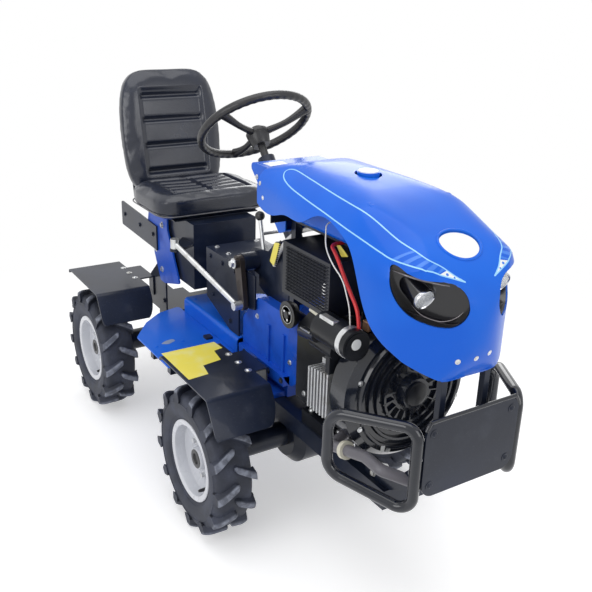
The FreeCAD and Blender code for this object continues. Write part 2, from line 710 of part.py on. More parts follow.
def side_form(inset):
    """The hood's side view pushed across the machine."""
    line = [(hood_y(along), hood_z(up)) for along, up in HOOD_TOP_LINE]
    line = drawn_in(line, inset, line[0], line[-1])
    edge = [V(-200, y, z) for y, z in line]
    edge[0] = V(-200, HOOD_REAR_Y, edge[0].z)
    low = V(-200, HOOD_REAR_Y, edge[-1].z)
    floor = Part.LineSegment(edge[-1], low).toShape()
    rear = Part.LineSegment(low, edge[0]).toShape()
    return Part.Face(Part.Wire([spline(edge), floor, rear])).extrude(V(400, 0, 0))


def plan_form(inset):
    """The hood's plan view pushed upwards."""
    line = [(-across * HOOD_HALF_WIDTH, hood_y(along)) for across, along in HOOD_PLAN_LINE]
    line = drawn_in(line, inset, line[0], (-line[-2][0], line[-2][1]))
    edge = [V(x, y, HOOD_CHIN_Z - 50) for x, y in line]
    edge[0] = V(edge[0].x, HOOD_REAR_Y, edge[0].z)
    edge += [V(-point.x, point.y, point.z) for point in reversed(edge[:-1])]
    wire = Part.Wire([spline(edge), Part.LineSegment(edge[-1], edge[0]).toShape()])
    return Part.Face(wire).extrude(V(0, 0, HOOD_HEIGHT + 100))


def arch_form(inset):
    """The hood's cross-section pushed along the machine."""
    line = [(across * HOOD_HALF_WIDTH, hood_z(up)) for across, up in HOOD_ARCH_LINE]
    line = drawn_in(line, inset, (-line[1][0], line[1][1]), (-line[-2][0], line[-2][1]))
    edge = [V(x, HOOD_REAR_Y + 100, z) for x, z in line]
    edge += [V(-point.x, point.y, point.z) for point in reversed(edge[1:-1])]
    return Part.Face(Part.Wire([spline(edge, True)])).extrude(V(0, -HOOD_LENGTH - 200, 0))


def nose_form(inset, start_y):
    """The steeper cross-section that slopes down over the nose, from a place on the hood."""
    line = [(across * HOOD_HALF_WIDTH, hood_z(up)) for across, up in HOOD_NOSE_LINE]
    line = drawn_in(line, inset, line[0], (-line[-2][0], line[-2][1]))
    edge = [V(x, start_y, z) for x, z in line]
    edge += [V(-point.x, point.y, point.z) for point in reversed(edge[:-1])]
    wire = Part.Wire([spline(edge), Part.LineSegment(edge[-1], edge[0]).toShape()])
    reach = HOOD_LENGTH / 2
    return Part.Face(wire).extrude(V(0, -reach, -NOSE_SLOPE * reach))


def seam_edges(form):
    """The long creases where the top runs into the flanks, and those round the front of the nose."""
    seams = []
    for edge in form.Edges:
        box = edge.BoundBox
        middle = edge.valueAt((edge.FirstParameter + edge.LastParameter) / 2)
        high = abs(middle.x) > HOOD_HALF_WIDTH / 2 and middle.z > hood_z(0.64)
        flank = high and box.YLength > 20 and box.XLength < 0.2 * HOOD_HALF_WIDTH
        front = middle.y < HOOD_FRONT_Y + 90 and hood_z(0.08) < middle.z < hood_z(0.45) and box.ZLength > 15
        if flank or front:
            seams.append(edge)
    return seams


def hood_form(inset):
    """The full hood envelope, drawn in by an inset: side, plan and cross-sections combined."""
    base = side_form(inset).common(plan_form(inset)).common(arch_form(inset))
    start_y = HOOD_FRONT_Y + NOSE_SETBACK
    ahead = block(-300, 300, start_y - HOOD_LENGTH, start_y, HOOD_CHIN_Z - 300, HOOD_TOP_Z + 100)
    nose = base.common(ahead).common(nose_form(inset, start_y))
    form = fuse(base.cut(ahead), nose)
    return form.makeFillet(HOOD_SEAM_RADIUS - inset, seam_edges(form))


def hood_side_opening():
    """Everything below the scalloped skirt and behind the chin."""
    edge = [V(-220, hood_y(along), hood_z(up)) for along, up in HOOD_SKIRT_LINE]
    low_z = HOOD_CHIN_Z - 30
    rear = V(-220, HOOD_REAR_Y + 20, edge[0].z)
    corners = [edge[-1], V(-220, edge[-1].y, low_z), V(-220, rear.y, low_z), rear, edge[0]]
    lines = [Part.LineSegment(here, following).toShape() for here, following in zip(corners, corners[1:])]
    return Part.Face(Part.Wire([spline(edge)] + lines)).extrude(V(440, 0, 0))


DIAGONAL = V(-1, -1, 0).normalize()
ACROSS_EYE = V(1, -1, 0).normalize()
EYE_CENTRE = V(-EYE_X, HOOD_FRONT_Y + EYE_SETBACK, EYE_Z)


def lamp_opening(grow, start, end):
    """The eye-shaped outline of the right headlamp as a bar along the diagonal, between two depths."""
    points = [
        EYE_CENTRE + DIAGONAL * start + (ACROSS_EYE * across + Z_AXIS * up) * (grow * EYE_WIDTH)
        for across, up in EYE_LINE
    ]
    return Part.Face(Part.Wire([spline(points, True)])).extrude(DIAGONAL * (end - start))


def hood():
    """Blue one-piece hood with filler hole, vent hole, lamp openings and open flanks."""
    shell = hood_form(0).cut(hood_form(HOOD_SHEET))
    shell = shell.cut(hood_side_opening())
    filler = Part.makeCylinder(FUEL_CAP_RADIUS + 6, HOOD_HEIGHT / 2, V(0, FUEL_CAP_Y, hood_z(0.75)))
    rim_line = Part.Ellipse(V(0, VENT_HOLE_Y, hood_z(0.6)), VENT_HALF_WIDTH, VENT_HALF_LENGTH).toShape()
    vent = Part.Face(Part.Wire([rim_line])).extrude(V(0, 0, HOOD_HEIGHT / 2))
    eye = lamp_opening(1, -100, 100)
    shell = shell.cut(filler).cut(vent).cut(eye).cut(mirrored(eye))
    solids = sorted(shell.Solids, key=lambda solid: solid.Volume)
    return solids[-1]


def headlamps():
    """A black bowl behind each opening, with a round lamp looking ahead and a little down."""
    room = hood_form(HOOD_SHEET + SEAT_GAP)
    bowl = lamp_opening(1.1, -EYE_DEPTH - 26, 60)
    recess = lamp_opening(0.97, -EYE_DEPTH, 70)
    dip = math.radians(LAMP_DIP)
    aim = V(0, -math.cos(dip), -math.sin(dip))
    face = V(-LAMP_X, HOOD_FRONT_Y + LAMP_SETBACK, EYE_Z - 4)
    lamp = rod(face - aim * 66, face, LAMP_RADIUS)
    return both_sides(fuse(bowl.cut(recess), lamp).common(room))


def fuel_tank():
    """Flat steel tank under the hood, with its neck and cap in the filler hole."""
    body = block(-TANK_HALF_WIDTH, TANK_HALF_WIDTH, TANK_FRONT_Y, TANK_REAR_Y, TANK_BOTTOM_Z, TANK_TOP_Z)
    body = body.makeFillet(16, body.Edges)
    neck = Part.makeCylinder(20, 50, V(0, FUEL_CAP_Y, TANK_TOP_Z - 10))
    cap = Part.makeCylinder(FUEL_CAP_RADIUS, 14, V(0, FUEL_CAP_Y, TANK_TOP_Z + 36))
    return fuse(body, neck, cap)


def tank_stand():
    """Portal on the gearbox with two rails under the tank and the bulkhead behind it."""
    half_bar = STAND_BAR / 2
    front = BULKHEAD_Y - 22
    post = block(-STAND_X - half_bar, -STAND_X + half_bar, front, BULKHEAD_Y - 2, GEARBOX_TOP_Z, TANK_BOTTOM_Z)
    rail = block(-STAND_X - half_bar, -STAND_X + half_bar, TANK_FRONT_Y + 4, BULKHEAD_Y - 2,
                 TANK_BOTTOM_Z - STAND_RAIL_HEIGHT, TANK_BOTTOM_Z)
    sheet = block(-190, 190, BULKHEAD_Y - 2, BULKHEAD_Y + 2, TANK_BOTTOM_Z - STAND_RAIL_HEIGHT, HOOD_TOP_Z)
    sheet = sheet.common(hood_form(HOOD_SHEET + SEAT_GAP))
    return fuse(post, mirrored(post), rail, mirrored(rail), sheet)


def hood_posts():
    """Two brackets from the back of the bumper plate that carry the chin of the hood."""
    low = HOOD_POST_FOOT_Z
    top = HOOD_CHIN_Z + 80
    bar = HOOD_POST_BAR
    inner = -HOOD_POST_X + bar / 2
    outer = inner - bar
    rear = HOOD_POST_Y + bar / 2
    post = block(outer, inner, HOOD_POST_Y - bar / 2, rear, low, top)
    foot = block(outer, inner, BUMPER_Y + BUMPER_SHEET + SEAT_GAP, rear, low, low + bar)
    arm = block(outer, inner, HOOD_FRONT_Y, rear, top - bar, top).common(hood_form(HOOD_SHEET + SEAT_GAP))
    return both_sides(fuse(post, foot, arm))


# ---------------------------------------------------------------- steering
def steering_tower():
    """Black plates each side of the steering box, standing on the tunnel in front of the seat."""
    front = TOWER_FRONT_Y
    rear = TOWER_REAR_Y
    top_z = TOWER_TOP_Z
    outline = [(front, top_z), (rear, top_z), (rear, TUNNEL_TOP_Z + 59), (rear - 158, TUNNEL_TOP_Z),
               (front + 95, TUNNEL_TOP_Z), (front + 95, top_z - 122), (front, top_z - 102)]
    right = side_plate(outline, -TOWER_X, PLATE)
    top = block(-TOWER_X, TOWER_X, rear - 158, rear, top_z - PLATE, top_z)
    tower = fuse(right, mirrored(right), top)
    notch = rod(V(-TOWER_X - 10, PITMAN_TOP_Y, PITMAN_TOP_Z), V(TOWER_X + 10, PITMAN_TOP_Y, PITMAN_TOP_Z),
                BOX_BOSS_RADIUS + SEAT_GAP)
    return tower.cut(notch)


def steering_box():
    """Gear housing on the gearbox, with the column above it and the output boss on the right."""
    half = STEERING_BOX_HALF_WIDTH
    low = GEARBOX_TOP_Z
    front = PITMAN_TOP_Y - 177
    rear = PITMAN_TOP_Y + 35
    outline = [(front, low), (front + 102, low), (front + 122, low + 40), (rear, low + 50), (rear, low + 116),
               (rear - 100, low + 130), (rear - 145, low + 176), (front, low + 130)]
    housing = side_plate(outline, -half, 2 * half, [4, 8, 16, 16, 20, 16, 16, 20])
    column = rod(WHEEL_HUB - COLUMN_AXIS * 360, WHEEL_HUB - COLUMN_AXIS * 70, COLUMN_RADIUS)
    bore = rod(WHEEL_HUB - COLUMN_AXIS * 130, WHEEL_HUB - COLUMN_AXIS * 60,
               STEERING_SHAFT_RADIUS + SHAFT_CLEARANCE)
    boss_end = -PITMAN_X + PITMAN_THICKNESS / 2 + SEAT_GAP
    boss = rod(V(boss_end, PITMAN_TOP_Y, PITMAN_TOP_Z), V(0, PITMAN_TOP_Y, PITMAN_TOP_Z), BOX_BOSS_RADIUS)
    return fuse(housing, column, boss).cut(bore)


def column_cover():
    """Blue dashboard cowl behind the hood: two cheeks and a folded back, open in front."""
    front = BULKHEAD_Y + 2 + SEAT_GAP
    half = COVER_HALF_WIDTH
    sheet = COVER_SHEET
    top = COVER_TOP_Z
    low = COVER_LIP_Z
    outline = [(COVER_REAR_Y, top), (COVER_LIP_Y, low), (front, low + 14), (front, top)]
    cowl = side_plate(outline, -half, 2 * half, [12, 8, 0, 0])
    ahead = front - 1
    core = [(COVER_REAR_Y - sheet, top - sheet), (COVER_LIP_Y, low + 1.5 * sheet), (ahead, low + 14 + sheet),
            (ahead, top - sheet)]
    inner = side_plate(core, -half + sheet, 2 * (half - sheet), [12, 8, 0, 0])
    return cowl.cut(inner)


def gear_levers():
    """Two control levers joined by a cross bar, standing on the steering gear."""
    foot_z = 700
    bars = []
    for side in (-1, 1):
        foot = V(side * 48, -268, foot_z)
        top = V(side * 48, -238, 816)
        bars.append(rod(foot, top, 6))
        bars.append(Part.makeSphere(13, top))
    bars.append(rod(V(-48, -254, 768), V(48, -254, 768), 5))
    return fuse(*bars).cut(steering_box())


def steering_wheel():
    """Three-spoke wheel on its shaft, with a conical hub."""
    axis = COLUMN_AXIS
    side = X_AXIS
    across = axis.cross(side)
    ring_centre = WHEEL_HUB + axis * STEERING_DISH
    ring = Part.makeTorus(STEERING_WHEEL_RADIUS - STEERING_RIM_RADIUS, STEERING_RIM_RADIUS, ring_centre, axis)
    hub = turned([(-30, 0), (-30, 26), (14, 34), (26, 20), (26, 0)], WHEEL_HUB, axis, side)
    spokes = []
    for angle in (90, 210, 330):
        turn = math.radians(angle)
        reach = side * math.cos(turn) + across * math.sin(turn)
        spokes.append(rod(WHEEL_HUB, ring_centre + reach * (STEERING_WHEEL_RADIUS - STEERING_RIM_RADIUS), 8))
    shaft = rod(WHEEL_HUB - axis * 120, WHEEL_HUB, STEERING_SHAFT_RADIUS)
    return fuse(ring, hub, shaft, *spokes)


def pitman_arm():
    """Drop arm on the steering box, with its ball stud at the foot."""
    top = V(0, PITMAN_TOP_Y, PITMAN_TOP_Z)
    foot = V(0, PITMAN_PIN_Y, PITMAN_PIN_Z)
    along = (foot - top).normalize()
    across = V(0, along.z, -along.y)
    half_top = 21
    half_foot = 15
    corners = [
        top - along * 22 + across * half_top,
        foot + along * 17 + across * half_foot,
        foot + along * 17 - across * half_foot,
        top - along * 22 - across * half_top,
    ]
    arm = plate([point + V(-PITMAN_X - PITMAN_THICKNESS / 2, 0, 0) for point in corners], [18, 14, 14, 18],
                V(PITMAN_THICKNESS, 0, 0))
    cap = rod(V(-PITMAN_X - PITMAN_THICKNESS / 2 - 12, PITMAN_TOP_Y, PITMAN_TOP_Z),
              V(-PITMAN_X, PITMAN_TOP_Y, PITMAN_TOP_Z), 15)
    return fuse(arm, cap)


def link_front():
    """Centre of the push rod's front eye, just outside the foot of the drop arm."""
    return V(-PITMAN_X - PITMAN_THICKNESS / 2 - SEAT_GAP - LINK_EYE_RADIUS, PITMAN_PIN_Y, PITMAN_PIN_Z)


def drag_link():
    """Push rod from the drop arm to the rear body, an eye at each end."""
    front = link_front()
    rear = V(-LINK_REAR_X, PIVOT_Y, LINK_REAR_Z)
    along = (rear - front).normalize()
    bar = rod(front + along * 4, rear - along * 4, LINK_RADIUS)
    front_eye = rod(front - V(LINK_EYE_RADIUS, 0, 0), front + V(LINK_EYE_RADIUS, 0, 0), LINK_EYE_RADIUS)
    rear_eye = Part.makeCylinder(LINK_EYE_RADIUS, LINK_EYE_HEIGHT, rear - V(0, 0, LINK_EYE_HEIGHT / 2))
    return fuse(bar, front_eye, rear_eye)


# ---------------------------------------------------------------- fenders and footboards
def fender(axle_y):
    """Right-hand bent-plate fender over a wheel, with its front flap, rear lip and rounded corners."""
    front = axle_y - FENDER_AHEAD
    rear = axle_y + FENDER_BEHIND
    drop = math.radians(FENDER_FLAP_ANGLE)
    flap_y = front - FENDER_FLAP * math.cos(drop)
    flap_z = FENDER_Z - FENDER_FLAP * math.sin(drop)
    lip_y = rear + FENDER_LIP * 0.7
    lip_z = FENDER_Z - FENDER_LIP * 0.8
    bends = [V(0, flap_y, flap_z), V(0, front, FENDER_Z), V(0, rear, FENDER_Z), V(0, lip_y, lip_z)]
    edge_run = rounded_edges(bends, [0, 12, 10, 0], False)
    width = FENDER_OUTER_X - FENDER_INNER_X
    faces = [edge.extrude(V(width, 0, 0)) for edge in edge_run]
    skin = Part.makeShell([face for piece in faces for face in piece.Faces])
    solid = skin.makeOffsetShape(FENDER_SHEET, 0.01, fill=True).Solids[0]
    solid.translate(V(-FENDER_OUTER_X, 0, 0))
    inner = -FENDER_INNER_X
    outer = -FENDER_OUTER_X
    corners = [(inner, flap_y - 3), (outer, flap_y - 3), (outer, lip_y + 4), (inner, lip_y + 4)]
    radii = [FENDER_INNER_CORNER] + [FENDER_OUTER_CORNER] * 3
    plan = flat_plate(corners, flap_z - 10, FENDER_Z - flap_z + 30, radii)
    return solid.common(plan)


def fender_bracket(axle_y, face_x, web_front, web_rear, web_low):
    """The angle that carries a fender: its web on a side face, its flange under the sheet."""
    top = FENDER_Z - SEAT_GAP
    flange = block(-FENDER_INNER_X - 40, -face_x, axle_y - 20, axle_y + 110, top - 5, top)
    web = block(-face_x - 5, -face_x, axle_y + web_front, axle_y + web_rear, web_low, top)
    return both_sides(fuse(flange, web))


def footboard():
    """Right footboard: a flat tread with a swept rear corner."""
    z = FOOTBOARD_Z - FOOTBOARD_SHEET
    outline = [
        (-TUNNEL_HALF_WIDTH - 1, FOOTBOARD_FRONT_Y),
        (-FOOTBOARD_OUTER_X, FOOTBOARD_FRONT_Y),
        (-FOOTBOARD_OUTER_X, 36),
        (-258, 128),
        (-190, 184),
        (-TUNNEL_HALF_WIDTH - 1, 206),
    ]
    return flat_plate(outline, z, FOOTBOARD_SHEET, [0, 6, 20, 60, 60, 10])


def tunnel():
    """Raised cover over the pivot between the two footboards."""
    half = TUNNEL_HALF_WIDTH
    sheet = FOOTBOARD_SHEET
    outline = [
        (-half, FOOTBOARD_Z - sheet),
        (-half, TUNNEL_TOP_Z),
        (half, TUNNEL_TOP_Z),
        (half, FOOTBOARD_Z - sheet),
        (half - sheet, FOOTBOARD_Z - sheet),
        (half - sheet, TUNNEL_TOP_Z - sheet),
        (-half + sheet, TUNNEL_TOP_Z - sheet),
        (-half + sheet, FOOTBOARD_Z - sheet),
    ]
    return cross_plate(outline, GEARBOX_REAR_Y + 2, 160 - GEARBOX_REAR_Y - 2, [0, 14, 14, 0, 0, 10, 10, 0])


def footboard_bars():
    """Two bars under both footboards, one across the rails and one across the upper ear."""
    top = FOOTBOARD_Z - FOOTBOARD_SHEET
    half = FOOTBOARD_OUTER_X - 10
    front = block(-half, half, RAIL_REAR_Y - 26, RAIL_REAR_Y - 2, RAIL_TOP_Z, top)
    rear = block(-half, half, -70, -46, EAR_TOP_Z, top)
    return Part.makeCompound([front, rear])


# ---------------------------------------------------------------- bumper
def bumper_loop():
    """Right guard loop: one closed ring of bent tube, flared out beside the engine."""
    beside = math.sqrt(GUARD_TUBE_RADIUS ** 2 - (GUARD_TUBE_RADIUS - BUMPER_SHEET) ** 2)
    x = -BUMPER_HALF_WIDTH - beside - SEAT_GAP
    y = BUMPER_Y + GUARD_TUBE_RADIUS
    top = BUMPER_TOP_Z - GUARD_TUBE_RADIUS
    points = [
        V(x, y, (top + LOOP_CHIN_Z) / 2),
        V(x, y, top),
        V(-LOOP_REAR_X, LOOP_REAR_Y, top - 14),
        V(-LOOP_REAR_X, LOOP_REAR_Y, LOOP_REAR_Z),
        V(x, y, LOOP_CHIN_Z),
    ]
    path = Part.Wire(rounded_edges(points, [0, 30, 45, 45, 34], True))
    ring = Part.Wire([Part.makeCircle(GUARD_TUBE_RADIUS, points[0], Z_AXIS)])
    return path.makePipeShell([ring], True, False)


def bumper_plate():
    """Black face plate of the bumper, bare, with rounded corners."""
    outline = [
        (-BUMPER_HALF_WIDTH, BUMPER_BOTTOM_Z),
        (BUMPER_HALF_WIDTH, BUMPER_BOTTOM_Z),
        (BUMPER_HALF_WIDTH, BUMPER_TOP_Z),
        (-BUMPER_HALF_WIDTH, BUMPER_TOP_Z),
    ]
    return cross_plate(outline, BUMPER_Y, BUMPER_SHEET, 34)


def bumper_stays():
    """Two upright plates from the rail tops forward to the back of the bumper plate."""
    back = BUMPER_Y + BUMPER_SHEET
    outline = [
        (RAIL_FRONT_Y + 90, RAIL_TOP_Z),
        (RAIL_FRONT_Y, RAIL_TOP_Z),
        (back, BUMPER_BOTTOM_Z + 16),
        (back, BUMPER_BOTTOM_Z + 96),
        (RAIL_FRONT_Y - 40, BUMPER_BOTTOM_Z + 10),
        (RAIL_FRONT_Y + 90, RAIL_TOP_Z + 12),
    ]
    stay = side_plate(outline, -RAIL_X - PLATE / 2, PLATE, [0, 20, 0, 0, 30, 0])
    return both_sides(stay)


def exhaust_pipe():
    """Grey pipe from the crankcase's right side, bending round the fan housing to the bumper stay."""
    beside = -SHROUD_RADIUS + 20
    low = EXHAUST_PIPE_Z
    stay_face = -RAIL_X - PLATE / 2 - SEAT_GAP
    points = [
        V(18 - ENGINE_HALF_WIDTH, ENGINE_FRONT_Y + 36, low),
        V(beside, ENGINE_FRONT_Y + 10, low),
        V(beside, ENGINE_FRONT_Y - 120, low + 40),
        V(beside, RAIL_FRONT_Y - 18, low + 38),
        V(stay_face + 15, RAIL_FRONT_Y - 62, low + 14),
    ]
    tube = pipe(points, [0, 22, 40, 20, 0], EXHAUST_PIPE_RADIUS)
    along = (points[2] - points[1]).normalize()
    collar = rod(points[1] + along * 54, points[1] + along * 64, EXHAUST_PIPE_RADIUS + 7)
    beyond = block(stay_face, 0, RAIL_FRONT_Y - 200, RAIL_FRONT_Y, RAIL_Z, low + 200)
    return fuse(tube, collar).cut(beyond).cut(engine())


# ---------------------------------------------------------------- rear body
def rear_frame():
    """Pivot boss, central beam notched for the axle case, upright plates and the cross plate."""
    low = PIVOT_Z - PIVOT_BOSS_HEIGHT / 2
    boss = Part.makeCylinder(PIVOT_BOSS_RADIUS, PIVOT_BOSS_HEIGHT, V(0, PIVOT_Y, low))
    bore = Part.makeCylinder(PIVOT_PIN_RADIUS + SHAFT_CLEARANCE, PIVOT_BOSS_HEIGHT + 2, V(0, PIVOT_Y, low - 1))
    half = REAR_BEAM_HALF_WIDTH
    beam = block(-half, half, PIVOT_Y + 16, BEAM_REAR_Y, BEAM_BOTTOM_Z, BEAM_TOP_Z)
    notch = rod(V(-AXLE_CASE_WIDTH, REAR_AXLE_Y, AXLE_Z), V(AXLE_CASE_WIDTH, REAR_AXLE_Y, AXLE_Z),
                AXLE_CASE_RADIUS + SEAT_GAP)
    cross = block(-REAR_PLATE_X, REAR_PLATE_X, 290, 430, BEAM_TOP_Z, BEAM_TOP_Z + 8)
    upright = side_plate([(290, BEAM_TOP_Z), (430, BEAM_TOP_Z), (430, 440), (340, 520), (275, 520), (290, 440)],
                         UPRIGHT_INNER_X, PLATE)
    body = fuse(boss, beam, cross, upright, mirrored(upright))
    return body.cut(bore).cut(notch)


def seat_box():
    """Black box under the seat, with the outrigger that takes the push rod."""
    box = block(-SEAT_BOX_HALF_WIDTH, SEAT_BOX_HALF_WIDTH, SEAT_BOX_FRONT_Y, SEAT_BOX_REAR_Y,
                SEAT_BOX_BOTTOM_Z, SEAT_BOX_TOP_Z)
    sink = PITMAN_LENGTH * (1 - math.cos(LEAN))
    top = LINK_REAR_Z - LINK_EYE_HEIGHT / 2 - sink - SEAT_GAP
    arm = flat_plate([(-SEAT_BOX_HALF_WIDTH + 4, SEAT_BOX_FRONT_Y + 4), (-LINK_REAR_X, PIVOT_Y - 16),
                      (-LINK_REAR_X - 16, PIVOT_Y + 6), (-SEAT_BOX_HALF_WIDTH + 4, SEAT_BOX_FRONT_Y + 90)],
                     top - 8, 8, [0, 10, 10, 0])
    return fuse(box, arm)


def seat_brackets():
    """Blue slanted side plates that carry the seat on the rear frame."""
    outline = [(160, 490), (250, 655), (250, 700), (400, 700), (417, 640), (318, 455), (280, 455)]
    right = side_plate(outline, -BRACKET_OUTER_X, PLATE, [8, 0, 8, 8, 20, 8, 8])
    return both_sides(right)


def seat_pan():
    """Steel shell of the seat: a pan under the cushion bent up behind the back."""
    low = SEAT_BOX_TOP_Z
    rake = math.radians(BACK_RAKE)
    foot_y = SEAT_REAR_Y + SEAT_GAP + (BACK_THICKNESS + SEAT_GAP) / math.cos(rake)
    height = BACK_HEIGHT * 0.8
    up_y = math.sin(rake)
    up_z = math.cos(rake)
    thick = SEAT_PAN
    outline = [
        (SEAT_FRONT_Y + 20, low),
        (foot_y + thick, low),
        (foot_y + thick + height * up_y, low + height * up_z),
        (foot_y + height * up_y, low + height * up_z),
        (foot_y + thick * up_y, low + thick),
        (SEAT_FRONT_Y + 20, low + thick),
    ]
    return side_plate(outline, -SEAT_PAN_HALF_WIDTH, 2 * SEAT_PAN_HALF_WIDTH)


def seat_cushion():
    """Plain closed form of the seat cushion."""
    outline = [
        (-SEAT_HALF_WIDTH, SEAT_FRONT_Y),
        (SEAT_HALF_WIDTH, SEAT_FRONT_Y),
        (SEAT_HALF_WIDTH - 10, SEAT_REAR_Y),
        (-SEAT_HALF_WIDTH + 10, SEAT_REAR_Y),
    ]
    return flat_plate(outline, SEAT_BOX_TOP_Z + SEAT_PAN + SEAT_GAP, SEAT_THICKNESS, 60)


def seat_back():
    """Plain closed form of the seat back, leaning rearwards against the shell."""
    rake = math.radians(BACK_RAKE)
    base = SEAT_BOX_TOP_Z + SEAT_PAN + SEAT_GAP + BACK_THICKNESS * math.sin(rake)
    front = SEAT_REAR_Y + SEAT_GAP + (base - SEAT_BOX_TOP_Z) * math.tan(rake)
    outline = [
        (-BACK_HALF_WIDTH + 14, base),
        (BACK_HALF_WIDTH - 14, base),
        (BACK_HALF_WIDTH, base + BACK_HEIGHT * 0.55),
        (BACK_HALF_WIDTH - 30, base + BACK_HEIGHT),
        (-BACK_HALF_WIDTH + 30, base + BACK_HEIGHT),
        (-BACK_HALF_WIDTH, base + BACK_HEIGHT * 0.55),
    ]
    back = cross_plate(outline, front, BACK_THICKNESS, [20, 20, 60, 70, 70, 60])
    back.rotate(V(0, front, base), X_AXIS, -BACK_RAKE)
    return back


def drawbar():
    """Rear plates and the drilled hitch tongue behind the rear axle."""
    front = REAR_SHIELD_FRONT_Y
    rear = HITCH_PLATE_REAR_Y
    low = REAR_SHIELD_Z
    high = low + REAR_SHIELD_HEIGHT
    right = side_plate([(front, low - 5), (rear, low + 5), (rear, high + 5), (front, high - 10)],
                       -BRACKET_OUTER_X - PLATE, PLATE, [0, 8, 8, 0])
    half = TONGUE_THICKNESS / 2
    tongue = block(-30, 30, BEAM_REAR_Y, rear, PIVOT_Z - half, PIVOT_Z + half)
    hole = Part.makeCylinder(HITCH_PIN_RADIUS, 40, V(0, rear - HITCH_HOLE_BACK, PIVOT_Z - 20))
    return Part.makeCompound([right, mirrored(right), tongue.cut(hole)])


# ---------------------------------------------------------------- cables
def soft_pipe(points, radius):
    """A round cable whose bends are as large as the runs beside them allow."""
    bends = [0]
    for before, here, after in zip(points, points[1:], points[2:]):
        shorter = min((here - before).Length, (after - here).Length)
        turn = (here - before).getAngle(after - here)
        bends.append(0.45 * shorter / math.tan(turn / 2))
    bends.append(0)
    return pipe(points, bends, radius)


def battery_cable():
    """Red starter cable from under the tank down to the starter motor."""
    rail_side = -STAND_X - STAND_BAR / 2
    points = [V(rail_side, -700, 874), V(-124, -700, 874), V(-142, -752, 862), V(-146, -800, 812),
              V(-148, -846, 770), V(-150, -858, STARTER_Z + STARTER_RADIUS - 4)]
    cable = soft_pipe(points, CABLE_RADIUS)
    return cable.cut(starter())


def breather_hose():
    """Pale hose from the tank's underside down to the steering gear."""
    points = [V(-58, -546, TANK_BOTTOM_Z), V(-58, -546, 864), V(-60, -504, 850), V(-62, -450, 826),
              V(-64, -405, 790), V(-66, -365, 736), V(-STEERING_BOX_HALF_WIDTH, -335, 700)]
    return soft_pipe(points, HOSE_RADIUS).cut(steering_box())


def light_wire():
    """Thin pale wire looping out below the hood's edge."""
    points = [V(-TANK_HALF_WIDTH, -700, 928), V(-140, -700, 928), V(-158, -726, 880), V(-160, -760, 850),
              V(-158, -800, 826), V(-158, -830, 770), V(-160, -838, STARTER_Z + STARTER_RADIUS - 2)]
    return soft_pipe(points, WIRE_RADIUS).cut(starter())


# ---------------------------------------------------------------- export
def build():
    """Every node by name."""
    tyre_shape = tyre()
    rim_shape = rim()
    nodes = {
        "front_axle": front_axle(),
        "chassis": chassis(),
        "gearbox": gearbox(),
        "engine": engine(),
        "fan_shroud": fan_shroud(),
        "exhaust_guard": exhaust_guard(),
        "exhaust_pipe": exhaust_pipe(),
        "starter": starter(),
        "finned_cover": finned_cover(),
        "cap_pulley": cap_pulley(),
        "hood": hood(),
        "headlamps": headlamps(),
        "fuel_tank": fuel_tank(),
        "tank_stand": tank_stand(),
        "hood_posts": hood_posts(),
        "steering_tower": steering_tower(),
        "steering_box": steering_box(),
        "column_cover": column_cover(),
        "steering_wheel": steering_wheel(),
        "gear_levers": gear_levers(),
        "pitman_arm": pitman_arm(),
        "drag_link": drag_link(),
        "footboard_right": footboard(),
        "footboard_left": mirrored(footboard()),
        "tunnel": tunnel(),
        "footboard_bars": footboard_bars(),
        "bumper_loop_right": bumper_loop(),
        "bumper_loop_left": mirrored(bumper_loop()),
        "bumper_plate": bumper_plate(),
        "bumper_stays": bumper_stays(),
        "battery_cable": battery_cable(),
        "breather_hose": breather_hose(),
        "light_wire": light_wire(),
        "rear_frame": rear_frame(),
        "rear_axle": rear_axle(),
        "seat_box": seat_box(),
        "seat_brackets": seat_brackets(),
        "seat_pan": seat_pan(),
        "seat_cushion": seat_cushion(),
        "seat_back": seat_back(),
        "drawbar": drawbar(),
        "fender_brackets_front": fender_bracket(FRONT_AXLE_Y, RAIL_OUTER_X, -20, 110, RAIL_BOTTOM_Z + 10),
        "fender_brackets_rear": fender_bracket(REAR_AXLE_Y, REAR_PLATE_X, -20, 18, BEAM_TOP_Z + 40),
    }
    for end, axle_y in (("front", FRONT_AXLE_Y), ("rear", REAR_AXLE_Y)):
        right = fender(axle_y)
        nodes["fender_" + end + "_right"] = right
        nodes["fender_" + end + "_left"] = mirrored(right)
        for name, side in (("right", -1), ("left", 1)):
            nodes["tyre_" + end + "_" + name] = placed_wheel(tyre_shape, side, axle_y)
            nodes["rim_" + end + "_" + name] = placed_wheel(rim_shape, side, axle_y)
    return nodes


os.makedirs("parts", exist_ok=True)
for node_name, node_shape in build().items():
    node_shape.translate(V(0, ORIGIN_SHIFT_Y, 0))
    node_shape.exportStep("parts/" + node_name + ".step")
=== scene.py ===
"""The looks of a compact articulated garden tractor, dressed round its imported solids.

Metres, +Z up, the nose towards -Y and the driver's right hand at -X. Places that belong to the
machine are given from the point on the floor midway between its axles, most of them in millimetres.
A finished piece keeps its place in its mesh, with its object at the origin.
"""
from __future__ import annotations

import json
import logging
import math
from contextlib import contextmanager
from dataclasses import dataclass
from enum import Enum
from functools import cache, cached_property
from typing import Callable, Iterable, Iterator, Sequence, Union

import bmesh
import bpy
import numpy as np
from bmesh.types import BMesh, BMVert
from bpy.types import Material, Mesh, Object
from mathutils import Matrix, Vector
from mathutils.bvhtree import BVHTree

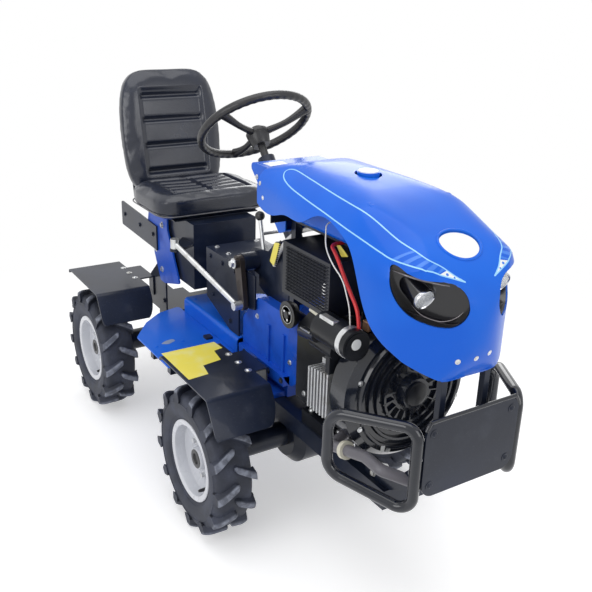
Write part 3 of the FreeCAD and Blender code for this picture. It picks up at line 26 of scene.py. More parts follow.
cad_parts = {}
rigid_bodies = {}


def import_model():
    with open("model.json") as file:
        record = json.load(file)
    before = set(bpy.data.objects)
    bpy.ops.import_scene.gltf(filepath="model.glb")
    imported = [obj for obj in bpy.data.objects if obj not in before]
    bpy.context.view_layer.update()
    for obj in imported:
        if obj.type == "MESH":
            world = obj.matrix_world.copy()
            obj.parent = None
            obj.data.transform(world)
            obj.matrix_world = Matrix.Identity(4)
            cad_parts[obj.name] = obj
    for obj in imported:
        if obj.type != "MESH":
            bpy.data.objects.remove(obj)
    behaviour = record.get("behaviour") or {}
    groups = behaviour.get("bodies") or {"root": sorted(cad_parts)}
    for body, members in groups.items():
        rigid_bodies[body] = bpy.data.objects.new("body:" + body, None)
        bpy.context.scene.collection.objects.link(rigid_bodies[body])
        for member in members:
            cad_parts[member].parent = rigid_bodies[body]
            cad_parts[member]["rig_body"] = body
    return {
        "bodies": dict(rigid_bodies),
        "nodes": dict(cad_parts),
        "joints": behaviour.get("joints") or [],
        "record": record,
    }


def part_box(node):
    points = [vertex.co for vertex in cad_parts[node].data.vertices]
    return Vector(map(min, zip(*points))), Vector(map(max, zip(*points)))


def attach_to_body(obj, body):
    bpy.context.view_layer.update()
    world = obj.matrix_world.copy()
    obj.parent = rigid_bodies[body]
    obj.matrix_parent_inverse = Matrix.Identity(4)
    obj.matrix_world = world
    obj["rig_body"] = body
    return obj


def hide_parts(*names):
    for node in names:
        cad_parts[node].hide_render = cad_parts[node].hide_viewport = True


LOG = logging.getLogger("tractor")
MM = 0.001
WELD_DISTANCE = 1e-5
FLAT_ANGLE = math.radians(0.02)
SHARP_ANGLE = math.radians(34)
X_AXIS = Vector((1, 0, 0))
Y_AXIS = Vector((0, 1, 0))
Z_AXIS = Vector((0, 0, 1))

Colour = tuple[float, float, float]
Points = Sequence[Vector]
Place = tuple[float, float, float]
Places = Sequence[Place]
Profile = Sequence[tuple[float, float]]


# ---- node trees
def _maths(operation: str, swapped: bool = False) -> Callable[["Value", "Term"], "Value"]:
    """Makes an operator that adds one Math node.

    Args:
        operation: the node's operation.
        swapped: whether the value stands on the right of the operator.

    Returns:
        The method for Value.
    """
    def method(self: "Value", other: "Term") -> "Value":
        """The result as a value."""
        first, second = (other, self) if swapped else (self, other)
        return self.nodes.add("ShaderNodeMath", {"operation": operation}, {0: first, 1: second})

    return method


class Value:
    """A socket that takes part in Python arithmetic and adds its Math nodes."""

    def __init__(self, nodes: "Nodes", socket: bpy.types.NodeSocket | None) -> None:
        """Keeps the socket with the nodes that it belongs to."""
        self.nodes = nodes
        self.socket = socket

    __add__, __radd__ = _maths("ADD"), _maths("ADD", True)
    __sub__, __rsub__ = _maths("SUBTRACT"), _maths("SUBTRACT", True)
    __mul__, __rmul__ = _maths("MULTIPLY"), _maths("MULTIPLY", True)
    __truediv__, __rtruediv__ = _maths("DIVIDE"), _maths("DIVIDE", True)
    __mod__, __rmod__ = _maths("MODULO"), _maths("MODULO", True)
    largest = _maths("MAXIMUM")

    def clamped(self, low: float, high: float) -> "Value":
        """This value stretched smoothly so that low gives 0 and high gives 1, and held between them."""
        inputs = {"Value": self, "From Min": low, "From Max": high}
        return self.nodes.add("ShaderNodeMapRange", {"interpolation_type": "SMOOTHSTEP"}, inputs)


Term = Union[Value, float]


class Nodes:
    """A node tree built in steps."""

    def __init__(self, tree: bpy.types.NodeTree) -> None:
        """Empties the tree."""
        self.tree = tree
        tree.nodes.clear()

    def add(self, kind: str, settings: dict | None = None, inputs: dict | None = None,
            output: int | str = 0) -> Value:
        """Adds one node.

        Args:
            kind: the node's type.
            settings: properties, set before any socket.
            inputs: values or links by socket name or number, a list of links where a socket takes many.
            output: the socket to hand back.

        Returns:
            The chosen output.
        """
        node = self.tree.nodes.new(kind)
        for name, setting in (settings or {}).items():
            setattr(node, name, setting)
        for name, given in (inputs or {}).items():
            socket = node.inputs[name]
            if isinstance(given, (Value, list)):
                for one in given if isinstance(given, list) else [given]:
                    self.tree.links.new(one.socket, socket)
            else:
                socket.default_value = (*given, 1.0) if socket.type == "RGBA" else given
        return Value(self, node.outputs[output] if node.outputs else None)

    def background_rays(self) -> Value:
        """Marks the rays that show the background: from the camera, off gloss and through glass.

        Returns:
            1 on those rays and 0 on the others.
        """
        camera, gloss, glass = (self.add("ShaderNodeLightPath", output=ray)
                                for ray in ("Is Camera Ray", "Is Glossy Ray", "Is Transmission Ray"))
        return camera.largest(gloss).largest(glass)


class Shader(Nodes):
    """The nodes of one material."""

    def __init__(self, name: str) -> None:
        """Starts an empty material.

        Args:
            name: the material's name.
        """
        self.material = bpy.data.materials.new(name)
        self.material.use_nodes = True
        super().__init__(self.material.node_tree)

    @cached_property
    def place(self) -> Value:
        """Object coordinates."""
        return self.add("ShaderNodeTexCoord", output="Object")

    def stretched(self, scale: Colour) -> Value:
        """Object coordinates scaled along each axis."""
        return self.add("ShaderNodeMapping", inputs={"Vector": self.place, "Scale": scale})

    def noise(self, scale: float, detail: float = 3, vector: Value | None = None) -> Value:
        """Smooth noise from 0 to 1."""
        inputs = {"Vector": vector or self.place, "Scale": scale, "Detail": detail}
        return self.add("ShaderNodeTexNoise", inputs=inputs)

    def cells(self, scale: float, feature: str = "F1") -> Value:
        """Distance from the nearest of many scattered points."""
        inputs = {"Vector": self.place, "Scale": scale}
        return self.add("ShaderNodeTexVoronoi", {"feature": feature}, inputs, "Distance")

    def blend(self, mask: Term, first: Value | Colour, second: Value | Colour) -> Value:
        """The first colour where the mask is 0 and the second where it is 1."""
        return self.add("ShaderNodeMix", {"data_type": "RGBA"}, {0: mask, 6: first, 7: second}, 2)

    def bump(self, height: Value, millimetres: float, strength: float) -> Value:
        """A normal raised by a height."""
        inputs = {"Height": height, "Distance": millimetres * MM, "Strength": strength}
        return self.add("ShaderNodeBump", inputs=inputs)

    def ended(self, surface: Value) -> Material:
        """The material, with a surface as its output."""
        self.add("ShaderNodeOutputMaterial", inputs={"Surface": surface})
        return self.material

    def finish(self, **sockets: Value | Colour | float) -> Material:
        """Ends the material in a Principled shader, its sockets named with underscores for spaces."""
        inputs = {name.replace("_", " "): given for name, given in sockets.items()}
        return self.ended(self.add("ShaderNodeBsdfPrincipled", inputs=inputs))


# ---- finishes
@dataclass(frozen=True)
class Enamel:
    """Sprayed enamel on sheet steel: faint orange peel, soft colour drift, dust and small scuffs."""

    colour: Colour
    shade: Colour
    roughness: float
    coat: float
    peel: float
    peel_scale: float
    dust: float
    dust_colour: Colour = (0.30, 0.33, 0.40)
    specular: float = 0.28

    def material(self, name: str) -> Material:
        """Builds the paint.

        Args:
            name: the material's name.

        Returns:
            The material.
        """
        shader = Shader(name)
        drift = shader.noise(5.0, 2).clamped(0.35, 0.7)
        paint = shader.blend(drift, self.colour, self.shade)
        patches = shader.noise(14.0, 6).clamped(0.52, 0.78)
        specks = shader.noise(220.0, 2).clamped(0.62, 0.72)
        dust = (patches * 0.7 + specks * 0.5) * self.dust
        return shader.finish(
            Base_Color=shader.blend(dust, paint, self.dust_colour),
            Roughness=self.roughness + patches * 0.10 + dust * 0.6,
            Specular_IOR_Level=self.specular,
            Coat_Weight=self.coat,
            Coat_Roughness=0.06,
            Normal=shader.bump(shader.noise(self.peel_scale, 2), 0.4, self.peel),
        )


@dataclass(frozen=True)
class Casting:
    """Paint over a sand casting: grainy, dull in its hollows and rubbed brighter in patches."""

    colour: Colour
    shade: Colour
    roughness: float
    grain: float

    def material(self, name: str) -> Material:
        """Builds the cast surface.

        Args:
            name: the material's name.

        Returns:
            The material.
        """
        shader = Shader(name)
        grain = shader.noise(420.0, 4)
        lumps = shader.noise(60.0, 4)
        stain = shader.noise(11.0, 6).clamped(0.42, 0.72)
        return shader.finish(
            Base_Color=shader.blend(stain, self.colour, self.shade),
            Roughness=self.roughness + stain * 0.18 - grain * 0.08,
            Specular_IOR_Level=0.3,
            Normal=shader.bump(grain * 0.6 + lumps * 0.4, 0.7, self.grain),
        )


@dataclass(frozen=True)
class Rubber:
    """Tyre rubber, dusty on its flanks and scuffed pale on the tops of the lugs."""

    colour: Colour = (0.011, 0.014, 0.025)
    dust_colour: Colour = (0.100, 0.115, 0.175)
    scuff_colour: Colour = (0.23, 0.25, 0.31)
    roughness: float = 0.62

    def material(self, name: str) -> Material:
        """Builds the rubber; the mesh attribute "lug" is 1 on a lug's top and 0 on the carcass.

        Args:
            name: the material's name.

        Returns:
            The material.
        """
        shader = Shader(name)
        lug = shader.add("ShaderNodeAttribute", {"attribute_name": "lug"}, output="Fac")
        cloud = shader.noise(16.0, 6).clamped(0.38, 0.72)
        fine = shader.noise(180.0, 4)
        dust = (0.06 + cloud * 0.34) * (0.35 + fine * 0.9)
        scuff = lug.clamped(0.72, 0.97) * (0.30 + shader.noise(55.0, 5).clamped(0.35, 0.7) * 0.65)
        dusty = shader.blend(dust, self.colour, self.dust_colour)
        return shader.finish(
            Base_Color=shader.blend(scuff, dusty, self.scuff_colour),
            Roughness=self.roughness + dust * 0.2 - scuff * 0.10,
            Normal=shader.bump(fine * 0.6 + shader.cells(260.0) * 0.4, 0.5, 0.45),
        )


@dataclass(frozen=True)
class Vinyl:
    """Embossed seat vinyl with a soft shine on its crowns."""

    colour: Colour = (0.0075, 0.0110, 0.0240)
    worn_colour: Colour = (0.015, 0.022, 0.046)
    roughness: float = 0.22

    def material(self, name: str) -> Material:
        """Builds the vinyl; the grain is a net of small cells with creases between them.

        Args:
            name: the material's name.

        Returns:
            The material.
        """
        shader = Shader(name)
        pebble = shader.cells(620.0, "DISTANCE_TO_EDGE").clamped(0.0, 0.22)
        wrinkle = shader.noise(46.0, 5)
        worn = shader.noise(9.0, 5).clamped(0.45, 0.75)
        return shader.finish(
            Base_Color=shader.blend(worn * 0.4, self.colour, self.worn_colour),
            Roughness=self.roughness + wrinkle * 0.05 - worn * 0.02,
            Coat_Weight=0.25,
            Coat_Roughness=0.16,
            Normal=shader.bump(pebble * 0.6 + wrinkle * 0.4, 0.25, 0.14),
        )


@dataclass(frozen=True)
class Plated:
    """Bare or plated metal: fine brushing, faint stains."""

    colour: Colour
    stain_colour: Colour
    roughness: float
    metallic: float
    brushing: Colour = (900.0, 900.0, 60.0)
    depth: float = 0.18

    def material(self, name: str) -> Material:
        """Builds the metal.

        Args:
            name: the material's name.

        Returns:
            The material.
        """
        shader = Shader(name)
        brushed = shader.noise(1.0, 2, shader.stretched(self.brushing))
        stain = shader.noise(28.0, 6).clamped(0.48, 0.8)
        return shader.finish(
            Base_Color=shader.blend(stain, self.colour, self.stain_colour),
            Roughness=self.roughness + stain * 0.22 + brushed * 0.08,
            Metallic=self.metallic - stain * 0.15,
            Normal=shader.bump(brushed, 0.2, self.depth),
        )


@dataclass(frozen=True)
class Moulded:
    """Moulded plastic or soft sheath with a light texture."""

    colour: Colour
    shade: Colour
    roughness: float
    coat: float = 0.0
    grain_scale: float = 700.0
    grain: float = 0.2

    def material(self, name: str) -> Material:
        """Builds the plastic.

        Args:
            name: the material's name.

        Returns:
            The material.
        """
        shader = Shader(name)
        grain = shader.noise(self.grain_scale, 3)
        haze = shader.noise(20.0, 5).clamped(0.45, 0.75)
        return shader.finish(
            Base_Color=shader.blend(haze * 0.7, self.colour, self.shade),
            Roughness=self.roughness + haze * 0.12 + grain * 0.05,
            Coat_Weight=self.coat,
            Coat_Roughness=0.05,
            Normal=shader.bump(grain, 0.3, self.grain),
        )


@dataclass(frozen=True)
class ClearLens:
    """A lamp's clear front: thin, glossy and mostly see-through."""

    colour: Colour = (0.85, 0.88, 0.9)
    alpha: float = 0.22
    fluting: Colour = (420.0, 420.0, 30.0)

    def material(self, name: str) -> Material:
        """Builds the lens; it is more solid where faint flutes run across it.

        Args:
            name: the material's name.

        Returns:
            The material.
        """
        shader = Shader(name)
        flutes = shader.noise(1.0, 0, shader.stretched(self.fluting))
        return shader.finish(
            Base_Color=self.colour,
            Roughness=0.04,
            Alpha=self.alpha + flutes * 0.12,
            Normal=shader.bump(flutes, 0.5, 0.3),
        )


class Surface(Enum):
    """Every finish on the machine; the value names the record's slot that it belongs to."""

    BODY_BLUE = "body_blue"
    CASTING_BLUE = "casting_blue"
    FRAME_BLACK = "frame_black"
    ENGINE_BLACK = "engine_black"
    SHROUD_BLACK = "shroud_black"
    GUARD_BLACK = "guard_black"
    FIN_ALLOY = "fin_alloy"
    ZINC = "zinc"
    RIM_SILVER = "rim_silver"
    TYRE = "tyre"
    SEAT_VINYL = "seat_vinyl"
    WHEEL_PLASTIC = "wheel_plastic"
    LAMP_BOWL = "lamp_bowl"
    CABLE_RED = "cable_red"
    HOSE_WHITE = "hose_white"
    PIPE_GREY = "pipe_grey"


class Trim(Enum):
    """Small finishes that have no slot of their own."""

    CHROME = "lamp_chrome"
    LENS = "lamp_lens"
    PALE_LINE = "pale_line"
    WHITE_LABEL = "white_label"
    YELLOW_LABEL = "yellow_label"
    DARK_STEEL = "dark_steel"
    RUST = "heat_stained_steel"
    STRIPE_BLUE = "stripe_blue"
    GREY_SMUDGE = "rubbed_paint"
    # Painted highlight: a pale glossy grey that stands for the light caught on the edges of the black lamp
    # bowls.
    GLOSS_GREY = "gloss_grey"
    CREAM = "cream_enamel"
    PIPING = "seat_cord"


Finish = Union[Surface, Trim]
FINISHES = {
    Surface.BODY_BLUE: Enamel((0.008, 0.130, 0.68), (0.006, 0.108, 0.62), 0.28, 0.12, 0.05, 160.0, 0.015,
                              specular=0.16),
    Surface.CASTING_BLUE: Casting((0.008, 0.085, 0.55), (0.005, 0.05, 0.36), 0.38, 0.45),
    Surface.FRAME_BLACK: Enamel((0.0065, 0.0100, 0.0215), (0.011, 0.017, 0.038), 0.30, 0.12, 0.14, 300.0,
                                0.07),
    Surface.ENGINE_BLACK: Casting((0.006, 0.007, 0.010), (0.012, 0.014, 0.020), 0.34, 0.40),
    Surface.SHROUD_BLACK: Enamel((0.006, 0.008, 0.014), (0.010, 0.013, 0.022), 0.18, 0.6, 0.06, 200.0, 0.03),
    Surface.GUARD_BLACK: Enamel((0.006, 0.008, 0.013), (0.012, 0.014, 0.024), 0.30, 0.1, 0.12, 320.0, 0.06),
    Surface.FIN_ALLOY: Plated((0.62, 0.63, 0.65), (0.34, 0.33, 0.32), 0.42, 0.85),
    Surface.ZINC: Plated((0.68, 0.69, 0.70), (0.40, 0.39, 0.36), 0.28, 0.9),
    Surface.RIM_SILVER: Enamel((0.62, 0.635, 0.68), (0.52, 0.535, 0.58), 0.26, 0.4, 0.10, 240.0, 0.10,
                               (0.26, 0.26, 0.28), 0.5),
    Surface.TYRE: Rubber(),
    Surface.SEAT_VINYL: Vinyl(),
    Surface.WHEEL_PLASTIC: Moulded((0.011, 0.011, 0.013), (0.020, 0.021, 0.025), 0.34, 0.1),
    Surface.LAMP_BOWL: Moulded((0.006, 0.006, 0.009), (0.010, 0.010, 0.015), 0.16, 0.4, 300.0, 0.05),
    Surface.CABLE_RED: Moulded((0.62, 0.018, 0.022), (0.45, 0.012, 0.016), 0.38, 0.1),
    Surface.HOSE_WHITE: Moulded((0.78, 0.78, 0.76), (0.62, 0.62, 0.58), 0.42),
    Surface.PIPE_GREY: Enamel((0.165, 0.16, 0.18), (0.12, 0.115, 0.14), 0.35, 0.1, 0.12, 300.0, 0.08),
    Trim.CHROME: Plated((0.62, 0.63, 0.66), (0.22, 0.22, 0.24), 0.12, 1.0, (300.0, 300.0, 20.0), 0.6),
    Trim.LENS: ClearLens(),
    Trim.PALE_LINE: Moulded((0.30, 0.62, 0.90), (0.24, 0.55, 0.86), 0.30, 0.3),
    Trim.WHITE_LABEL: Moulded((0.80, 0.81, 0.80), (0.70, 0.71, 0.69), 0.38, 0.2, 300.0, 0.05),
    Trim.YELLOW_LABEL: Moulded((0.86, 0.74, 0.10), (0.80, 0.76, 0.34), 0.36, 0.2, 300.0, 0.05),
    Trim.DARK_STEEL: Plated((0.060, 0.050, 0.046), (0.030, 0.024, 0.022), 0.34, 0.7),
    Trim.RUST: Plated((0.42, 0.24, 0.14), (0.16, 0.07, 0.04), 0.45, 0.7),
    Trim.STRIPE_BLUE: Moulded((0.022, 0.19, 0.74), (0.016, 0.15, 0.66), 0.30, 0.3),
    Trim.GREY_SMUDGE: Moulded((0.25, 0.30, 0.42), (0.14, 0.22, 0.46), 0.5),
    # Painted highlight: pale grey on the lamp's lip and moulded line, which are edges of the black bowl.
    Trim.GLOSS_GREY: Moulded((0.30, 0.27, 0.29), (0.22, 0.20, 0.23), 0.12, 0.8, 300.0, 0.05),
    Trim.CREAM: Enamel((0.62, 0.60, 0.50), (0.52, 0.50, 0.42), 0.36, 0.2, 0.1, 260.0, 0.06),
    Trim.PIPING: Moulded((0.10, 0.10, 0.11), (0.16, 0.16, 0.17), 0.36, 0.2),
}


@cache
def material_of(finish: Finish) -> Material:
    """A finish's material, built when it is first asked for."""
    return FINISHES[finish].material(finish.value)


# ---- mesh helpers
def new_object(name: str, mesh: Mesh, finish: Finish | None = None) -> Object:
    """Links a mesh into the scene as an object at the origin.

    Args:
        name: the object's name.
        mesh: its mesh, already in place.
        finish: the finish to give it; without one it keeps its materials.

    Returns:
        The object.
    """
    mesh.name = name
    if finish is not None:
        mesh.materials.clear()
        mesh.materials.append(material_of(finish))
    piece = bpy.data.objects.new(name, mesh)
    bpy.context.scene.collection.objects.link(piece)
    return piece


@contextmanager
def edited(mesh: Mesh) -> Iterator[BMesh]:
    """Opens a mesh for editing and writes it back, with every edge over the limit shaded sharp.

    Args:
        mesh: the mesh to change.

    Yields:
        Its editable form.
    """
    built = bmesh.new()
    built.from_mesh(mesh)
    yield built
    for polygon in built.faces:
        polygon.smooth = True
    for edge in built.edges:
        edge.smooth = len(edge.link_faces) == 2 and edge.calc_face_angle(math.pi) < SHARP_ANGLE
    built.to_mesh(mesh)
    built.free()


def mesh_from(vertices: Iterable[Sequence[float]], faces: Iterable[Sequence[int]]) -> Mesh:
    """A mesh from points and faces, its normals made to point outwards.

    Args:
        vertices: the points.
        faces: each a loop of numbers of points.

    Returns:
        The mesh.
    """
    mesh = bpy.data.meshes.new("raw")
    mesh.from_pydata([tuple(vertex) for vertex in vertices], [], [tuple(face) for face in faces])
    with edited(mesh) as built:
        bmesh.ops.remove_doubles(built, verts=built.verts, dist=WELD_DISTANCE)
        bmesh.ops.recalc_face_normals(built, faces=built.faces)
    return mesh


def joined(name: str, meshes: Sequence[Mesh], finish: Finish | None = None) -> Object:
    """One object from several meshes.

    Args:
        name: the object's name.
        meshes: its parts.
        finish: the finish to give it; without one each part keeps its own.

    Returns:
        The object.
    """
    built = bmesh.new()
    materials: list[Material] = []
    for mesh in meshes:
        before = len(built.faces)
        built.from_mesh(mesh)
        built.faces.ensure_lookup_table()
        materials += [one for one in mesh.materials if one not in materials]
        slots = [materials.index(one) for one in mesh.materials] or [0]
        for polygon in built.faces[before:]:
            polygon.material_index = slots[polygon.material_index]
    mesh = bpy.data.meshes.new(name)
    built.to_mesh(mesh)
    built.free()
    for material in materials:
        mesh.materials.append(material)
    return new_object(name, mesh, finish)


def evaluated_mesh(piece: Object) -> Mesh:
    """The mesh that a piece's modifiers make, as a plain mesh.

    Args:
        piece: the piece, which stays as it is.

    Returns:
        The new mesh.
    """
    bpy.context.view_layer.update()
    depsgraph = bpy.context.evaluated_depsgraph_get()
    return bpy.data.meshes.new_from_object(piece.evaluated_get(depsgraph), depsgraph=depsgraph)


def fixed(piece: Object) -> Object:
    """Turns a piece's modifiers into its mesh.

    Args:
        piece: the piece to change.

    Returns:
        The same piece.
    """
    mesh = evaluated_mesh(piece)
    piece.modifiers.clear()
    piece.data = mesh
    return piece


def taken_out(piece: Object) -> Mesh:
    """Removes a piece from the scene and keeps the mesh that its modifiers make.

    Args:
        piece: the piece to remove.

    Returns:
        Its mesh.
    """
    mesh = evaluated_mesh(piece)
    bpy.data.objects.remove(piece)
    return mesh


def merged(meshes: Sequence[Mesh]) -> Mesh:
    """One mesh from several."""
    return taken_out(joined("merged", meshes))


def bevelled(piece: Object, width: float) -> Object:
    """Rounds a piece's sharp edges and keeps its flats flat.

    Args:
        piece: the piece, which gets live modifiers.
        width: how far the rounding reaches.

    Returns:
        The same piece.
    """
    bevel = piece.modifiers.new("Edges", "BEVEL")
    bevel.width = width
    bevel.segments = 2
    bevel.limit_method = "ANGLE"
    bevel.angle_limit = SHARP_ANGLE
    bevel.use_clamp_overlap = True
    weighted = piece.modifiers.new("Normals", "WEIGHTED_NORMAL")
    weighted.keep_sharp = True
    return piece


def grid_faces(rows: int, columns: int, wrap_rows: bool = False,
               wrap_columns: bool = False) -> list[tuple[int, ...]]:
    """Quads of a grid of points numbered row by row.

    Args:
        rows: how many rows of points.
        columns: how many points in a row.
        wrap_rows: whether the last row meets the first.
        wrap_columns: whether each row's end meets its start.

    Returns:
        The quads.
    """
    faces = []
    for row in range(rows if wrap_rows else rows - 1):
        here, below = row * columns, (row + 1) % rows * columns
        for column in range(columns if wrap_columns else columns - 1):
            beside = (column + 1) % columns
            faces.append((here + column, here + beside, below + beside, below + column))
    return faces


def smooth_line(points: Points, pieces: int = 8) -> list[Vector]:
    """A Catmull-Rom curve through points.

    Args:
        points: the places that it passes through.
        pieces: steps from one point to the next.

    Returns:
        The points of the curve.
    """
    padded = [points[0], *points, points[-1]]
    curve = []
    for before, start, end, after in zip(padded, padded[1:], padded[2:], padded[3:]):
        for step in range(pieces):
            t = step / pieces
            bend, twist = 2 * before - 5 * start + 4 * end - after, 3 * start - before - 3 * end + after
            curve.append(0.5 * (2 * start + (end - before) * t + bend * t ** 2 + twist * t ** 3))
    return [*curve, points[-1].copy()]


def circle(steps: int, first: Vector, second: Vector) -> list[Vector]:
    """A turn's directions between two at right angles.

    Args:
        steps: how many directions make the turn.
        first: the direction that it starts from.
        second: the one that it reaches after a quarter.

    Returns:
        The directions.
    """
    turns = [math.tau * step / steps for step in range(steps)]
    return [first * math.cos(turn) + second * math.sin(turn) for turn in turns]


def lathe(profile: Profile, centre: Vector, axis: Vector, steps: int = 64, ring: bool = False,
          unit: float = 1.0) -> Mesh:
    """A turned form; an open end that isn't on the axis is closed flat.

    Args:
        profile: (along, radius) points from one end to the other.
        centre: where "along" is 0.
        axis: the direction of "along".
        steps: how many flats make a turn.
        ring: whether the profile's end meets its start, as on a ring.
        unit: the profile's unit in metres.

    Returns:
        The mesh.
    """
    axis = axis.normalized()
    side = axis.orthogonal().normalized()
    ways = circle(steps, side, axis.cross(side))
    vertices = [centre + axis * along * unit + way * radius * unit
                for along, radius in profile for way in ways]
    faces = grid_faces(len(profile), steps, ring, True)
    for row in () if ring else (0, len(profile) - 1):
        if profile[row][1] * unit > WELD_DISTANCE:
            faces.append(tuple(row * steps + step for step in range(steps)))
    return mesh_from(vertices, faces)


def tube(points: Points, radius: float | Callable[[float], float], sides: int = 16,
         closed: bool = False) -> Mesh:
    """A round bar along a line of points.

    Args:
        points: the centre line.
        radius: its radius, or a function of the share of the length from 0 to 1.
        sides: how many flats go round.
        closed: whether the line is a ring.

    Returns:
        The mesh.
    """
    count = len(points)
    last = (count - 1) * sides
    vertices = []
    side = None
    for index, point in enumerate(points):
        ahead = points[(index + 1) % count] if closed or index + 1 < count else point
        behind = points[index - 1] if closed or index else point
        along = (ahead - behind).normalized()
        side = along.orthogonal() if side is None else side - along * side.dot(along)
        side.normalize()
        reach = radius(index / max(count - 1, 1)) if callable(radius) else radius
        vertices += [point + way * reach for way in circle(sides, side, along.cross(side))]
    faces = grid_faces(count, sides, wrap_columns=True)
    if closed:
        shift = min(range(sides), key=lambda step: (vertices[last + step] - vertices[0]).length)
        ends = [last + (shift + step) % sides for step in range(sides)]
        faces += [(ends[step], ends[(step + 1) % sides], (step + 1) % sides, step) for step in range(sides)]
    else:
        faces += [tuple(range(sides)), tuple(range(last, last + sides))]
    return mesh_from(vertices, faces)


def extruded(outline: Points, along: Vector) -> Mesh:
    """A flat outline pushed along a vector into a closed solid.

    Args:
        outline: the corners in order.
        along: the way and the distance.

    Returns:
        The mesh.
    """
    count = len(outline)
    vertices = [*outline, *(point + along for point in outline)]
    faces = [tuple(range(count)), tuple(range(count, 2 * count)), *grid_faces(2, count, wrap_columns=True)]
    return mesh_from(vertices, faces)


def closed_sheet(top: Points, low: Points, rows: int, columns: int) -> Mesh:
    """A thin closed sheet between two grids of points numbered row by row.

    Args:
        top: one face's points.
        low: the other face's points.
        rows: how many rows each has.
        columns: how many points are in a row.

    Returns:
        The mesh.
    """
    count = rows * columns
    faces = grid_faces(rows, columns)
    faces += [tuple(count + corner for corner in reversed(face)) for face in faces]
    rim = [*range(columns), *(row * columns + columns - 1 for row in range(1, rows)),
           *(count - 1 - step for step in range(1, columns)),
           *(row * columns for row in range(rows - 2, 0, -1))]
    faces += [(here, ahead, count + ahead, count + here) for here, ahead in zip(rim, rim[1:] + rim[:1])]
    return mesh_from([*top, *low], faces)


def rounded(outline: Points, radius: float, steps: int = 5) -> list[Vector]:
    """A closed outline with its corners cut to arcs.

    Args:
        outline: the corners in order.
        radius: how far from a corner its arc starts, held under half of a short side.
        steps: how many pieces make an arc.

    Returns:
        The new outline.
    """
    points = []
    for before, here, after in zip([outline[-1], *outline], outline, [*outline[1:], outline[0]]):
        back, ahead = before - here, after - here
        reach = min(radius, back.length * 0.45, ahead.length * 0.45)
        start, end = here + back.normalized() * reach, here + ahead.normalized() * reach
        for step in range(steps + 1):
            t = step / steps
            points.append(start * (1 - t) ** 2 + here * (2 * t * (1 - t)) + end * t ** 2)
    return points


def split_long_edges(built: BMesh, longest: float) -> None:
    """Halves edges and keeps triangles until no edge is longer than a limit.

    Args:
        built: the mesh to split.
        longest: the limit.
    """
    for _ in range(7):
        edges = [edge for edge in built.edges if edge.calc_length() > longest]
        if not edges:
            return
        bmesh.ops.subdivide_edges(built, edges=edges, cuts=1)
        bmesh.ops.triangulate(built, faces=[face for face in built.faces if len(face.verts) > 3])


@dataclass
class Fairing:
    """Rounds creases off a thin sheet without thinning or shrinking it.

    Each point moves along the normal towards the plane of its surroundings on its own face of the
    sheet, less most of the mean of that move nearby, so that even curves stay where they are.
    """

    reach: float = 34 * MM
    longest: float = 14 * MM
    held_back: float = 0.85
    jump: float = 2.0 * MM
    chunk: int = 250

    @staticmethod
    def read(vertices: Sequence[BMVert]) -> tuple[np.ndarray, np.ndarray, np.ndarray]:
        """Reads each point's place, the way that its own face of the sheet looks, and its area.

        Args:
            vertices: the points.

        Returns:
            The places, the normals and the areas, row by row.
        """
        places = np.array([vertex.co[:] for vertex in vertices], dtype=np.float32)
        facing = np.zeros_like(places)
        area = np.full(len(vertices), 1e-9, dtype=np.float32)
        for index, vertex in enumerate(vertices):
            largest = max(vertex.link_faces, key=lambda face: face.calc_area())
            for face in vertex.link_faces:
                if face.normal.dot(largest.normal) > 0.6:
                    facing[index] += np.array(face.normal[:], dtype=np.float32) * face.calc_area()
                    area[index] += face.calc_area() / 3
        facing /= np.maximum(np.linalg.norm(facing, axis=1, keepdims=True), 1e-12)
        return places, facing, area

    def moves(self, vertices: Sequence[BMVert]) -> np.ndarray:
        """Works out how far each point moves.

        Args:
            vertices: the points, sorted along Y.

        Returns:
            The moves as rows of three.
        """
        places, facing, area = self.read(vertices)

        def surroundings(start: int) -> tuple[slice, slice, np.ndarray]:
            """Weighs the points near some of the rows.

            Args:
                start: the first of the rows.

            Returns:
                The rows, the rows near them and each near row's share.
            """
            rows = slice(start, min(start + self.chunk, len(vertices)))
            first, last = places[rows][[0, -1], 1]
            margin = 2.2 * self.reach
            near = slice(*np.searchsorted(places[:, 1], (first - margin, last + margin)))
            apart = ((places[rows, None] - places[None, near]) ** 2).sum(axis=2)
            alike = np.clip(facing[rows] @ facing[near].T, 0, 1) ** 2
            given = np.exp(-apart / self.reach ** 2) * alike * area[None, near] + 1e-20
            return rows, near, given / given.sum(axis=1, keepdims=True)

        normals, towards, kept = np.empty_like(places), np.empty_like(area), np.empty_like(area)
        starts = range(0, len(vertices), self.chunk)
        for rows, near, share in map(surroundings, starts):
            normal = share @ facing[near]
            normals[rows] = normal / np.maximum(np.linalg.norm(normal, axis=1, keepdims=True), 1e-9)
            towards[rows] = ((share @ places[near] - places[rows]) * normals[rows]).sum(axis=1)
        for rows, near, share in map(surroundings, starts):
            kept[rows] = towards[rows] - self.held_back * (share @ towards[near])
        return normals * kept[:, None]

    def even_out(self, built: BMesh) -> None:
        """Splits the sheet finely and moves its points.

        Args:
            built: the sheet to change.
        """
        split_long_edges(built, self.longest)
        built.normal_update()
        vertices = sorted(built.verts, key=lambda vertex: vertex.co.y)
        number = {vertex: index for index, vertex in enumerate(vertices)}
        shifts = self.moves(vertices)
        beside = [[number[edge.other_vert(vertex)] for edge in vertex.link_edges] for vertex in vertices]
        for _ in range(4):
            around = np.array([np.median(shifts[one], axis=0) for one in beside])
            odd = np.linalg.norm(shifts - around, axis=1) > self.jump
            shifts[odd] = around[odd]
        for vertex, shift in zip(vertices, shifts):
            vertex.co += Vector(shift.tolist())
        LOG.info("evened out %d points by up to %.1f mm", len(vertices), float(np.abs(shifts).max()) / MM)


